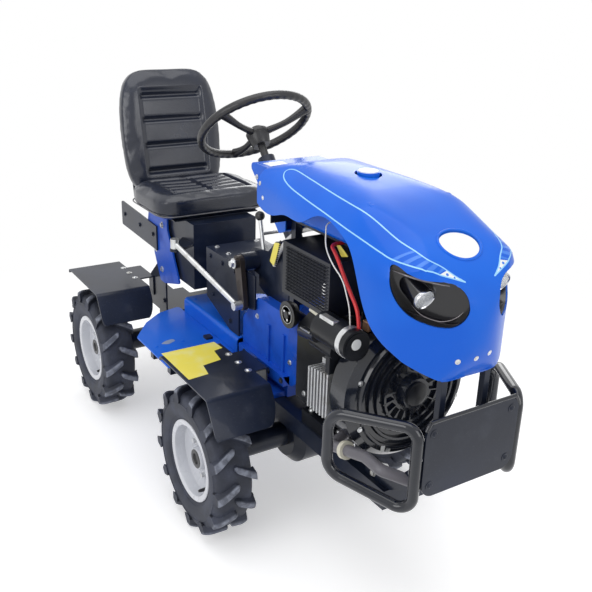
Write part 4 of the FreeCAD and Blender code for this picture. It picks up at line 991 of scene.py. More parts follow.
# ---- geometry nodes
class GeometryTree(Nodes):
    """A Geometry Nodes tree with named inputs."""

    SOCKETS = {float: "NodeSocketFloat", int: "NodeSocketInt", Material: "NodeSocketMaterial"}

    def __init__(self, name: str) -> None:
        """Starts a tree with a geometry coming in and one going out.

        Args:
            name: the tree's name.
        """
        super().__init__(bpy.data.node_groups.new(name, "GeometryNodeTree"))
        for way in ("INPUT", "OUTPUT"):
            self.tree.interface.new_socket("Geometry", in_out=way, socket_type="NodeSocketGeometry")
        self.start = self.tree.nodes.new("NodeGroupInput")
        self.given: dict[str, object] = {}

    @property
    def geometry(self) -> Value:
        """The geometry that comes in."""
        return Value(self, self.start.outputs["Geometry"])

    def size(self, name: str, given: object) -> Value:
        """Adds a named input and remembers the value that the modifier gets.

        Args:
            name: the input's name.
            given: its value, whose type decides the socket's.

        Returns:
            The input.
        """
        self.tree.interface.new_socket(name, in_out="INPUT", socket_type=self.SOCKETS[type(given)])
        self.given[name] = given
        return Value(self, self.start.outputs[name])

    def field(self, name: str, kind: str) -> Value:
        """A value stored on the points that come in."""
        return self.add("GeometryNodeInputNamedAttribute", {"data_type": kind}, {"Name": name}, "Attribute")

    def run(self, base: Mesh, finish: Finish, result: Value) -> Mesh:
        """Realizes the result on a base mesh.

        Args:
            base: the mesh that comes in.
            finish: the finish of all that the tree makes.
            result: the geometry to hand back.

        Returns:
            The finished plain mesh.
        """
        material = self.size("Finish", material_of(finish))
        real = self.add("GeometryNodeRealizeInstances", inputs={"Geometry": result})
        dressed = self.add("GeometryNodeSetMaterial", inputs={"Geometry": real, "Material": material})
        self.add("NodeGroupOutput", inputs={"Geometry": dressed})
        carrier = new_object("carrier", base)
        modifier = carrier.modifiers.new("Repeat", "NODES")
        modifier.node_group = self.tree
        for item in self.tree.interface.items_tree:
            if item.in_out == "INPUT" and item.name in self.given:
                modifier[item.identifier] = self.given[item.name]
        mesh = taken_out(carrier)
        mesh.materials.clear()
        mesh.materials.append(material_of(finish))
        return mesh


def turned_copies(base: Mesh, count: int, finish: Finish, first: float = 0.0) -> Mesh:
    """Copies of a mesh set round the X axis at equal angles.

    Args:
        base: the mesh to repeat, about the X axis.
        count: how many copies.
        finish: their finish.
        first: the angle of the first.

    Returns:
        One mesh with every copy.
    """
    tree = GeometryTree("turned_copies")
    number, begin = tree.size("Count", count), tree.size("First Angle", first)
    places = {"Count": number, "Offset": (0.0, 0.0, 0.0)}
    points = tree.add("GeometryNodeMeshLine", {"mode": "OFFSET"}, places)
    turn = tree.add("GeometryNodeInputIndex") / number * math.tau + begin
    angles = tree.add("ShaderNodeCombineXYZ", inputs={"X": turn})
    inputs = {"Points": points, "Instance": tree.geometry, "Rotation": angles}
    return tree.run(base, finish, tree.add("GeometryNodeInstanceOnPoints", inputs=inputs))


class Head(Enum):
    """The shapes that a fastener's head takes: how many sides, its height, and the top's share."""

    HEX = (6, 0.70, 0.92)
    DOME = (16, 0.55, 0.45)
    RIVET = (14, 0.40, 0.50)
    NUT = (6, 1.00, 0.90)


Spot = tuple[Vector, Vector, float]


def fastener_heads(points: Sequence[Spot], head: Head, finish: Finish) -> Mesh:
    """Heads with washers on given places.

    Args:
        points: each a place, the way that it faces and the head's radius.
        head: the shape of the heads.
        finish: their finish.

    Returns:
        One mesh with every head.
    """
    base = bpy.data.meshes.new("places")
    base.from_pydata([tuple(place) for place, _, _ in points], [], [])
    facing = base.attributes.new("facing", "FLOAT_VECTOR", "POINT")
    facing.data.foreach_set("vector", [part for _, normal, _ in points for part in normal.normalized()])
    sizes = base.attributes.new("radius", "FLOAT", "POINT")
    sizes.data.foreach_set("value", [radius for _, _, radius in points])
    sides, height, top_share = head.value
    tree = GeometryTree("fastener_heads")
    body = tree.add("GeometryNodeMeshCone", inputs={
        "Vertices": sides, "Side Segments": 1, "Radius Bottom": 1.0, "Radius Top": top_share,
        "Depth": tree.size("Head Height", height)})
    washer = tree.add("GeometryNodeMeshCylinder", inputs={"Vertices": 16, "Radius": 1.38, "Depth": 0.24})
    both = tree.add("GeometryNodeJoinGeometry", inputs={0: [body, washer]})
    rotation = tree.add("FunctionNodeAlignRotationToVector", {"axis": "Z"},
                        {"Vector": tree.field("facing", "FLOAT_VECTOR")})
    copies = tree.add("GeometryNodeInstanceOnPoints", inputs={
        "Points": tree.geometry, "Instance": both, "Rotation": rotation,
        "Scale": tree.field("radius", "FLOAT")})
    return tree.run(base, finish, copies)


# ---- the machine's frame
@dataclass
class Machine:
    """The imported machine: its nodes, and the point midway between its axles."""

    frame: dict

    @cached_property
    def middle_y(self) -> float:
        """The middle of the wheelbase, from two of the tyres."""
        return (self.centre("tyre_front_right").y + self.centre("tyre_rear_right").y) / 2

    @staticmethod
    def centre(node: str) -> Vector:
        """The middle of a node's box."""
        low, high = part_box(node)
        return (low + high) / 2

    def at(self, x: float, y: float, z: float) -> Vector:
        """A place given in metres from the middle of the wheelbase."""
        return Vector((x, y + self.middle_y, z))

    def mm(self, x: float, y: float, z: float) -> Vector:
        """A place given in millimetres from the middle of the wheelbase."""
        return self.at(x * MM, y * MM, z * MM)

    def spots(self, places: Places) -> list[Vector]:
        """Places given in millimetres from the middle of the wheelbase."""
        return [self.mm(*place) for place in places]

    def stand_in(self, piece: Object, node: str, finish: Finish) -> None:
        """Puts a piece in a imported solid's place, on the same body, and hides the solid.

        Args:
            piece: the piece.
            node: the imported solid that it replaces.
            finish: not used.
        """
        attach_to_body(piece, self.frame["nodes"][node]["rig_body"])
        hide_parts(node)
        LOG.info("built %s", piece.name)


def attach(name: str, mesh: Mesh, finish: Finish, body: str = "front_body") -> None:
    """Adds a finished piece that rides on a body.

    Args:
        name: the piece's name.
        mesh: its mesh, already in place.
        finish: its finish.
        body: the body that carries it.
    """
    piece = new_object(name, mesh, finish)
    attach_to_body(piece, body)
    LOG.info("built %s", name)


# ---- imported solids, dressed
@dataclass
class Dresser:
    """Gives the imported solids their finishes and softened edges."""

    machine: Machine

    def copied(self, node: str, finish: Finish,
               change: Callable[[BMesh], None]) -> Object:
        """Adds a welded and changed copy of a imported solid.

        Args:
            node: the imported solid.
            finish: the copy's finish.
            change: what is done to the copy.

        Returns:
            The copy.
        """
        mesh = self.machine.frame["nodes"][node].data.copy()
        with edited(mesh) as built:
            bmesh.ops.remove_doubles(built, verts=built.verts, dist=WELD_DISTANCE)
            change(built)
        return new_object(node + "_finished", mesh, finish)

    def softened(self, node: str, finish: Finish, edge: float) -> None:
        """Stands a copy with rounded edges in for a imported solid.

        Args:
            node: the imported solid.
            finish: the copy's finish.
            edge: how far its edges are rounded, or 0 to leave them.
        """
        def flattened(built: BMesh) -> None:
            """Joins the triangles of each flat face."""
            bmesh.ops.dissolve_limit(built, angle_limit=FLAT_ANGLE, verts=built.verts, edges=built.edges)

        piece = self.copied(node, finish, flattened)
        if edge > 0:
            fixed(bevelled(piece, edge))
        self.machine.stand_in(piece, node, finish)

    def faired(self, node: str, finish: Finish) -> None:
        """Stands a copy with its creases evened out in for a packed sheet.

        Args:
            node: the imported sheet.
            finish: the copy's finish.
        """
        def evened(built: BMesh) -> None:
            """Drops slivers and evens out the sheet."""
            bmesh.ops.dissolve_degenerate(built, dist=0.1 * MM, edges=built.edges)
            Fairing().even_out(built)

        self.machine.stand_in(self.copied(node, finish, evened), node, finish)

    @staticmethod
    def finishes() -> dict[str, tuple[Finish, float]]:
        """The finish, and how far edges are rounded in millimetres, of each solid that keeps its shape.

        Returns:
            The table by node.
        """
        black, blue, cast = Surface.FRAME_BLACK, Surface.BODY_BLUE, Surface.CASTING_BLUE
        gloss, white = Surface.SHROUD_BLACK, Surface.HOSE_WHITE
        table = {
            "front_axle": (black, 2.5), "rear_axle": (black, 2.5), "chassis": (black, 1.5),
            "gearbox": (cast, 3.0), "engine": (Surface.ENGINE_BLACK, 1.0), "fan_shroud": (gloss, 1.5),
            "exhaust_guard": (Surface.GUARD_BLACK, 0.5), "starter": (Surface.ENGINE_BLACK, 2.0),
            "finned_cover": (Surface.FIN_ALLOY, 1.2), "cap_pulley": (Surface.WHEEL_PLASTIC, 1.2),
            "headlamps": (Surface.LAMP_BOWL, 0.6), "fuel_tank": (blue, 0.0), "tank_stand": (black, 1.0),
            "hood_posts": (black, 1.0), "steering_tower": (black, 1.0), "steering_box": (black, 2.0),
            "column_cover": (blue, 0.8), "gear_levers": (Surface.ZINC, 0.5),
            "pitman_arm": (Trim.DARK_STEEL, 2.0), "drag_link": (Surface.ZINC, 0.6),
            "footboard_right": (blue, 1.0), "footboard_left": (blue, 1.0), "tunnel": (blue, 1.0),
            "footboard_bars": (black, 1.5), "bumper_loop_right": (gloss, 0.0),
            "bumper_loop_left": (gloss, 0.0), "bumper_plate": (black, 1.5), "bumper_stays": (black, 1.0),
            "rear_frame": (black, 1.5), "seat_box": (black, 1.5), "seat_brackets": (cast, 1.2),
            "seat_pan": (black, 1.0), "drawbar": (black, 1.0), "fender_brackets_front": (black, 1.0),
            "fender_brackets_rear": (black, 1.0), "battery_cable": (Surface.CABLE_RED, 0.0),
            "breather_hose": (white, 0.0), "light_wire": (white, 0.0),
            "exhaust_pipe": (Surface.PIPE_GREY, 0.6),
        }
        fenders = [f"fender_{end}_{side}" for end in ("front", "rear") for side in ("left", "right")]
        return table | dict.fromkeys(fenders, (black, 1.0))

    def build(self) -> None:
        """Dresses every solid whose shape stays as packed, and the hood."""
        for node, (finish, edge) in self.finishes().items():
            self.softened(node, finish, edge * MM)
        self.faired("hood", Surface.BODY_BLUE)


# ---- wheels
@dataclass
class Wheel:
    """A narrow farm wheel: lugged tyre, dished rim, studs, hub end and valve."""

    machine: Machine
    end: str
    side: str
    lugs: int = 13
    top_radius: float = 0.2065
    root_radius: float = 0.176
    lug_half_width: float = 0.0135
    lug_sweep: float = 0.036
    lug_inner: float = -0.004
    lug_outer: float = 0.0565
    lug_tip: float = 0.017
    pitch_radius: float = 0.207
    rows: int = 15
    columns: int = 7
    stud_ring: float = 0.051
    studs: int = 5
    valve_ring: float = 0.086
    valve_turn: float = 0.55

    @property
    def name(self) -> str:
        """The corner's name."""
        return f"{self.end}_{self.side}"

    @cached_property
    def hub(self) -> Vector:
        """The middle of the tyre."""
        return self.machine.centre(f"tyre_{self.name}")

    def placed(self, mesh: Mesh) -> Mesh:
        """Moves a mesh from the X axis to this corner, its outer face away from the machine.

        Args:
            mesh: the mesh to move.

        Returns:
            The same mesh.
        """
        if self.side == "right":
            mesh.transform(Matrix.Rotation(math.pi, 4, "Z"))
        mesh.transform(Matrix.Translation(self.hub))
        return mesh

    def spun(self, profile: Profile, steps: int, ring: bool = False) -> Mesh:
        """A form turned about the X axis, from millimetres."""
        return lathe(profile, Vector(), X_AXIS, steps, ring, MM)

    def carcass(self) -> Mesh:
        """The round casing, with a bead ring and two moulded lines on each flank.

        Returns:
            The mesh about the X axis.
        """
        half = [(30.0, 103.0), (38.5, 108.0), (42.0, 116.5), (47.0, 124.0), (47.5, 126.2), (49.2, 127.5),
                (53.5, 140.0), (55.0, 153.0), (54.6, 164.0), (56.0, 165.2), (55.6, 167.2), (53.8, 169.0),
                (51.5, 177.5), (46.0, 185.0), (34.0, 188.8), (0.0, 190.5)]
        outline = [Vector((along, 0, radius)) for along, radius in half]
        outline += [Vector((-along, 0, radius)) for along, radius in reversed(half[:-1])]
        mesh = self.spun([(point.x, point.z) for point in smooth_line(outline, 2)], 84, True)
        mesh.attributes.new("lug", "FLOAT", "POINT")
        return mesh

    def lug_row(self, share: float) -> tuple[list[Place], list[float]]:
        """One row of points across a lug: the middle ones on its top, the outer two at its root.

        Args:
            share: how far along the lug the row lies, from 0 at its inner end to 1.

        Returns:
            The points, and 1 for each that lies on the top.
        """
        nose = min(1.0, share / 0.16)
        half = self.lug_half_width * (0.35 + 0.65 * math.sqrt(1 - (1 - nose) ** 2)) * (1 + 0.22 * share)
        fall = 0.0055 * max(0.0, (share - 0.62) / 0.38) ** 2 + (0.004 if share == 0 else 0.0)
        points, tops = [], []
        for column in range(self.columns):
            across = -1 + 2 * column / (self.columns - 1)
            on_top = abs(across) < 0.9
            radius = self.top_radius - fall - 0.0012 * across * across if on_top else self.root_radius
            reach = half * across * 0.92 if on_top else half * across + math.copysign(0.0035, across)
            along = self.lug_inner + (self.lug_outer - self.lug_inner) * share
            along += 0.002 if share == 1 and not on_top else 0.0
            turn = (self.lug_sweep * (share - 0.5) + reach) / self.top_radius
            points.append((along, radius * math.sin(turn), radius * math.cos(turn)))
            tops.append(1.0 if on_top else 0.0)
        return points, tops

    def lug(self, mirror: bool) -> Mesh:
        """One bar: rounded at its inner end, swept forward, falling away over the shoulder.

        Args:
            mirror: whether the bar is on the tyre's inner half.

        Returns:
            The closed bar about the X axis.
        """
        rows, columns = self.rows, self.columns
        vertices, tops = [], []
        for row in range(rows):
            points, marks = self.lug_row(row / (rows - 1))
            vertices += points
            tops += marks
        faces = grid_faces(rows, columns)
        for row, shift in ((0, -0.004), (rows - 1, 0.0025)):
            start, foot = row * columns, len(vertices)
            for along, y, z in vertices[start:start + columns]:
                scale = self.root_radius * 0.94 / math.hypot(y, z)
                vertices.append((along + shift, y * scale, z * scale))
            tops += [0.0] * columns
            faces += [(start + step, start + step + 1, foot + step + 1, foot + step)
                      for step in range(columns - 1)]
        mesh = bpy.data.meshes.new("lug")
        sign = -1.0 if mirror else 1.0
        mesh.from_pydata([(sign * x, y, z) for x, y, z in vertices], [], faces)
        mesh.attributes.new("lug", "FLOAT", "POINT").data.foreach_set("value", tops)
        with edited(mesh) as built:
            bmesh.ops.holes_fill(built, edges=built.edges)
            bmesh.ops.recalc_face_normals(built, faces=built.faces)
        return taken_out(bevelled(new_object("lug", mesh), 1.4 * MM))

    def tyre(self) -> None:
        """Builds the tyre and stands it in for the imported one."""
        first = math.asin((self.lug_sweep + self.lug_tip) / 2 / self.pitch_radius)
        half_pitch = math.pi / self.lugs
        rings = [turned_copies(self.lug(mirror), self.lugs, Surface.TYRE, first + late)
                 for mirror, late in ((True, 0.0), (False, half_pitch))]
        meshes = [self.placed(mesh) for mesh in (self.carcass(), *rings)]
        piece = joined(f"tyre_{self.name}_rubber", meshes, Surface.TYRE)
        self.machine.stand_in(piece, f"tyre_{self.name}", Surface.TYRE)

    def rim(self) -> None:
        """Builds the rim with its dish and rolled edges, and the shaft that it sits on."""
        front = [(-45.0, 97.0), (-46.5, 112.0), (-45.5, 115.0), (-44.0, 116.0), (-42.5, 114.5),
                 (-41.5, 102.0), (41.0, 102.0), (41.8, 114.5), (43.0, 116.0), (44.5, 115.8), (45.8, 114.5),
                 (46.0, 112.0),
                 (44.0, 100.0), (40.0, 98.5), (18.0, 97.5), (14.0, 96.5), (11.5, 93.0), (10.5, 86.0),
                 (8.0, 80.0), (3.0, 66.0), (3.0, 61.0), (6.0, 58.0), (8.5, 56.0), (9.0, 44.0), (9.0, 36.0),
                 (11.0, 33.0), (24.0, 31.0), (26.2, 29.0), (26.2, 19.0), (20.0, 18.0), (20.0, 0.0)]
        back = [(4.0, 96.5), (3.0, 83.0), (-4.0, 60.0), (1.0, 38.0), (-73.0, 34.0), (-73.0, 0.0)]
        shaft = [(-129.0, 0.0), (-129.0, 17.0), (-73.0, 17.0)]
        meshes = [self.placed(self.spun(profile, steps))
                  for profile, steps in ((front, 72), (back, 48), (shaft, 32))]
        piece = joined(f"rim_{self.name}_pressed", meshes, Surface.RIM_SILVER)
        self.machine.stand_in(piece, f"rim_{self.name}", Surface.RIM_SILVER)

    def hardware(self) -> None:
        """The studs, the dark hub end and the valve."""
        turns = [math.tau * (index + 0.3) / self.studs for index in range(self.studs)]
        spots = [Vector((0.009, self.stud_ring * math.sin(turn), self.stud_ring * math.cos(turn)))
                 for turn in turns]
        studs = fastener_heads([(spot, X_AXIS, 7.8 * MM) for spot in spots], Head.NUT, Surface.ZINC)
        end = self.spun([(19.0, 0.0), (19.0, 27.0), (27.2, 27.0), (27.6, 26.2), (27.6, 16.0), (23.0, 14.0),
                         (23.0, 0.0)], 36)
        foot = Vector((0, math.sin(self.valve_turn), -math.cos(self.valve_turn))) * self.valve_ring
        valve = tube([foot + X_AXIS * along for along in (0.009, 0.035, 0.041)],
                     lambda share: 0.0055 - 0.002 * share, 12)
        for name, mesh, finish in (("studs", studs, Surface.ZINC), ("hub_end", end, Surface.WHEEL_PLASTIC),
                                   ("valve", valve, Surface.WHEEL_PLASTIC)):
            attach(f"{name}_{self.name}", self.placed(mesh), finish, f"wheel_{self.name}")

    def build(self) -> None:
        """Builds the whole wheel."""
        self.tyre()
        self.rim()
        self.hardware()


# ---- seat
def held(value: float) -> float:
    """A value held between 0 and 1."""
    return max(0.0, min(1.0, value))


def channel(distance: float, width: float) -> float:
    """The depth, from 0 to 1, of a sewn channel at a distance from its middle."""
    return math.exp(-(distance / width) ** 2)


@dataclass
class Pad:
    """A stuffed vinyl pad: blown up by cloth simulation, then sewn into channels.

    The pad is shaped in its own frame, with u across, v along its length and w out of its face.
    """

    name: str
    node: str
    centre: Vector
    along: Vector
    half_width: float
    half_length: float
    thickness: float
    groove: Callable[[float, float], float]
    taper: Callable[[float], float] = lambda share: 1.0
    across: Vector = X_AXIS
    squareness: float = 5.0
    swell: float = 0.007
    voxel: float = 0.006
    frames: int = 20
    grid: tuple[int, int] = (31, 35)

    @property
    def out(self) -> Vector:
        """The way the face looks."""
        return self.across.cross(self.along).normalized()

    def slab(self, u: float, v: float) -> tuple[Vector, Vector]:
        """The places on both faces of a rounded slab that is thinner towards its rim.

        Args:
            u: the share of the half width, from -1 to 1.
            v: the share of the half length.

        Returns:
            The places on the front and on the rear.
        """
        reach = max(abs(u), abs(v), 1e-6)
        spread = (abs(u) ** self.squareness + abs(v) ** self.squareness) ** (1 / self.squareness)
        scale = reach / spread if spread > 0 else 1.0
        x = u * scale * self.half_width * self.taper((v * scale + 1) / 2)
        y = v * scale * self.half_length
        middle = self.centre + self.across * x + self.along * y
        deep = self.out * (self.thickness / 2 * (1 - reach ** 8 * 0.42))
        return middle + deep, middle - deep

    def core(self) -> Mesh:
        """The closed form before it swells.

        Returns:
            The mesh.
        """
        rows, columns = self.grid
        faces = [self.slab(-1 + 2 * column / (columns - 1), -1 + 2 * row / (rows - 1))
                 for row in range(rows) for column in range(columns)]
        return closed_sheet([front for front, _ in faces], [rear for _, rear in faces], rows, columns)

    def inflate(self, piece: Object) -> None:
        """Blows the pad up with cloth pressure and caps how far any point moves.

        Args:
            piece: the pad to change.
        """
        start = np.empty(len(piece.data.vertices) * 3)
        piece.data.vertices.foreach_get("co", start)
        cloth = piece.modifiers.new("Cloth", "CLOTH")
        cloth.settings.quality = 4
        cloth.settings.use_pressure = True
        cloth.settings.uniform_pressure_force = 4.0
        cloth.settings.effector_weights.gravity = 0.0
        cloth.settings.tension_stiffness = cloth.settings.compression_stiffness = 12
        cloth.settings.bending_stiffness = 1.0
        cloth.point_cache.frame_start, cloth.point_cache.frame_end = 1, self.frames
        for number in range(1, self.frames + 1):
            bpy.context.scene.frame_set(number)
        mesh = evaluated_mesh(piece)
        piece.modifiers.clear()
        bpy.context.scene.frame_set(1)
        end = np.empty(len(mesh.vertices) * 3)
        mesh.vertices.foreach_get("co", end)
        moved = (end - start).reshape(-1, 3)
        length = np.linalg.norm(moved, axis=1, keepdims=True)
        capped = moved * np.minimum(1.0, self.swell / np.maximum(length, 1e-9))
        mesh.vertices.foreach_set("co", (start.reshape(-1, 3) + capped).ravel())
        piece.data = mesh

    def sew(self, piece: Object) -> None:
        """Presses the channels and the panel's border into the face.

        Args:
            piece: the pad to change.
        """
        for vertex in piece.data.vertices:
            offset = vertex.co - self.centre
            w = offset.dot(self.out)
            if w > 0:
                depth = self.groove(offset.dot(self.across), offset.dot(self.along))
                vertex.co -= self.out * (depth * min(1.0, w / (self.thickness * 0.25)))

    def build(self, machine: Machine) -> None:
        """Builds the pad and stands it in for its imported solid.

        Args:
            machine: the machine that it belongs to.
        """
        piece = new_object(self.name, self.core(), Surface.SEAT_VINYL)
        remesh = piece.modifiers.new("Even", "REMESH")
        remesh.mode = "VOXEL"
        remesh.voxel_size = self.voxel
        fixed(piece)
        self.inflate(piece)
        smoother = piece.modifiers.new("Even", "SMOOTH")
        smoother.factor, smoother.iterations = 0.6, 6
        subdivision = piece.modifiers.new("Fine", "SUBSURF")
        subdivision.levels = subdivision.render_levels = 1
        fixed(piece)
        self.sew(piece)
        piece.data.materials.clear()
        piece.data.materials.append(material_of(Surface.SEAT_VINYL))
        for polygon in piece.data.polygons:
            polygon.use_smooth = True
        machine.stand_in(piece, self.node, Surface.SEAT_VINYL)


@dataclass
class Seat:
    """The driver's seat: cushion and back of black vinyl."""

    machine: Machine
    groove_depth: float = 0.010
    groove_width: float = 0.0068
    cross_lines: Sequence[float] = (-0.078, -0.038, 0.002, 0.042, 0.082)
    rake: float = math.radians(12.0)
    back_lines: Sequence[float] = (-0.132, -0.044, 0.042, 0.122)
    back_groove_depth: float = 0.011
    back_groove_width: float = 0.0085
    panel_depth: float = 0.007

    def cushion_groove(self, u: float, v: float) -> float:
        """How deep the cushion's face is pressed at a place: two columns of cross channels in a border.

        Args:
            u: the place across.
            v: the place along.

        Returns:
            The depth; below 0 where the front edge rises.
        """
        inside = held((0.128 - abs(u)) / 0.010) * (abs(u) > 0.010)
        depth = max(channel(v - line, self.groove_width) * inside for line in self.cross_lines)
        depth = max(depth, channel(u, self.groove_width) * (-0.085 < v < 0.09))
        border = max(abs(u) - 0.132, abs(v - 0.002) - 0.094)
        depth = max(depth, 0.9 * channel(border, self.groove_width))
        hollow = 0.006 * max(0.0, 1 - (u / 0.15) ** 2) * max(0.0, 1 - ((v - 0.01) / 0.12) ** 2)
        return depth * self.groove_depth + hollow - 0.004 * max(0.0, (-v - 0.10) / 0.04)

    def back_groove(self, u: float, v: float) -> float:
        """How deep the back's face is pressed at a place: cross channels in a sunk panel.

        Args:
            u: the place across.
            v: the place along.

        Returns:
            The depth.
        """
        inside = held((0.112 - abs(u)) / 0.010)
        sunk = held((0.118 - abs(u)) / 0.012) * held((0.150 - abs(v)) / 0.012)
        depth = max(channel(v - line, self.back_groove_width) * inside for line in self.back_lines)
        return sunk * self.panel_depth + depth * self.back_groove_depth

    @staticmethod
    def back_taper(share: float) -> float:
        """The back's width at a share of its height, against its widest."""
        return 0.93 + 0.07 * math.sin(math.pi * min(1.0, share * 1.05)) - 0.10 * max(0.0, share - 0.62)

    def cushion(self) -> None:
        """Builds the cushion."""
        low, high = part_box("seat_cushion")
        Pad("seat_cushion_padded", "seat_cushion", (low + high) / 2, Y_AXIS, (high.x - low.x) / 2 + 0.003,
            (high.y - low.y) / 2 + 0.004, high.z - low.z + 0.002, self.cushion_groove).build(self.machine)

    def back(self) -> None:
        """Builds the back, measured along its rake."""
        low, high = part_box("seat_back")
        along = Vector((0, math.sin(self.rake), math.cos(self.rake)))
        out = X_AXIS.cross(along)
        places = [vertex.co for vertex in self.machine.frame["nodes"]["seat_back"].data.vertices]
        reach = [place.dot(along) for place in places]
        depth = [place.dot(out) for place in places]
        middle = along * (min(reach) + max(reach)) / 2 + out * (min(depth) + max(depth)) / 2
        Pad("seat_back_padded", "seat_back", middle, along, (high.x - low.x) / 2 + 0.003,
            (max(reach) - min(reach)) / 2 + 0.002, max(depth) - min(depth) - 0.002, self.back_groove,
            self.back_taper).build(self.machine)

    def build(self) -> None:
        """Builds both pads."""
        self.cushion()
        self.back()


# ---- steering wheel
@dataclass
class SteeringWheel:
    """Three-spoke wheel with finger grips under its rim and a conical hub."""

    machine: Machine
    hub: Place = (0, -140, 1020)
    tilt: float = math.radians(40.0)
    radius: float = 0.172
    rim_radius: float = 0.0125
    dish: float = 0.034
    grips: int = 44
    grip_height: float = 0.0011
    steps: int = 264
    sides: int = 14

    @property
    def axis(self) -> Vector:
        """The way that the column points."""
        return Vector((0, math.sin(self.tilt), math.cos(self.tilt)))

    def ring(self, centre: Vector, reach: float) -> Mesh:
        """The rim, with its finger grips.

        Args:
            centre: the rim's middle.
            reach: the radius of its centre line.

        Returns:
            The mesh.
        """
        vertices = []
        for step, way in enumerate(circle(self.steps, X_AXIS, self.axis.cross(X_AXIS))):
            wave = 0.5 + 0.5 * math.cos(self.grips * math.tau * step / self.steps)
            for side in range(self.sides):
                turn = math.tau * side / self.sides
                radius = self.rim_radius - 0.0006 + self.grip_height * wave * max(0.0, -math.sin(turn))
                vertices.append(centre + way * (reach + radius * math.cos(turn))
                                + self.axis * radius * math.sin(turn))
        return mesh_from(vertices, grid_faces(self.steps, self.sides, True, True))

    def spoke(self, way: Vector, hub: Vector, reach: float) -> Mesh:
        """One spoke, from the hub up to the rim.

        Args:
            way: where it points across the wheel.
            hub: the hub's middle.
            reach: the radius of the rim's centre line.

        Returns:
            The mesh.
        """
        start = hub + way * 0.02 + self.axis * 0.008
        bend = hub + way * reach * 0.55 + self.axis * self.dish * 0.42
        end = hub + self.axis * self.dish + way * (reach - 0.004)
        return tube(smooth_line([start, bend, end], 8),
                    lambda share: 0.0115 - 0.004 * math.sin(math.pi * share) + 0.003 * share, 12)

    def build(self) -> None:
        """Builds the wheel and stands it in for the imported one."""
        hub = self.machine.mm(*self.hub)
        reach = self.radius - self.rim_radius
        ways = circle(12, X_AXIS, self.axis.cross(X_AXIS))
        spokes = [self.spoke(ways[hour], hub, reach) for hour in (3, 7, 11)]
        cone = [(-30, 0), (-30, 24), (-27, 26.2), (4, 33), (12, 33.5), (16, 31.5), (18, 24), (24, 21),
                (26, 18), (26, 0)]
        shaft = [(-120, 0), (-120, 11), (-29, 11), (-29, 0)]
        turned = [lathe(profile, hub, self.axis, steps, unit=MM)
                  for profile, steps in ((cone, 40), (shaft, 24))]
        meshes = [self.ring(hub + self.axis * self.dish, reach), *spokes, *turned]
        piece = joined("steering_wheel_moulded", meshes, Surface.WHEEL_PLASTIC)
        self.machine.stand_in(piece, "steering_wheel", Surface.WHEEL_PLASTIC)


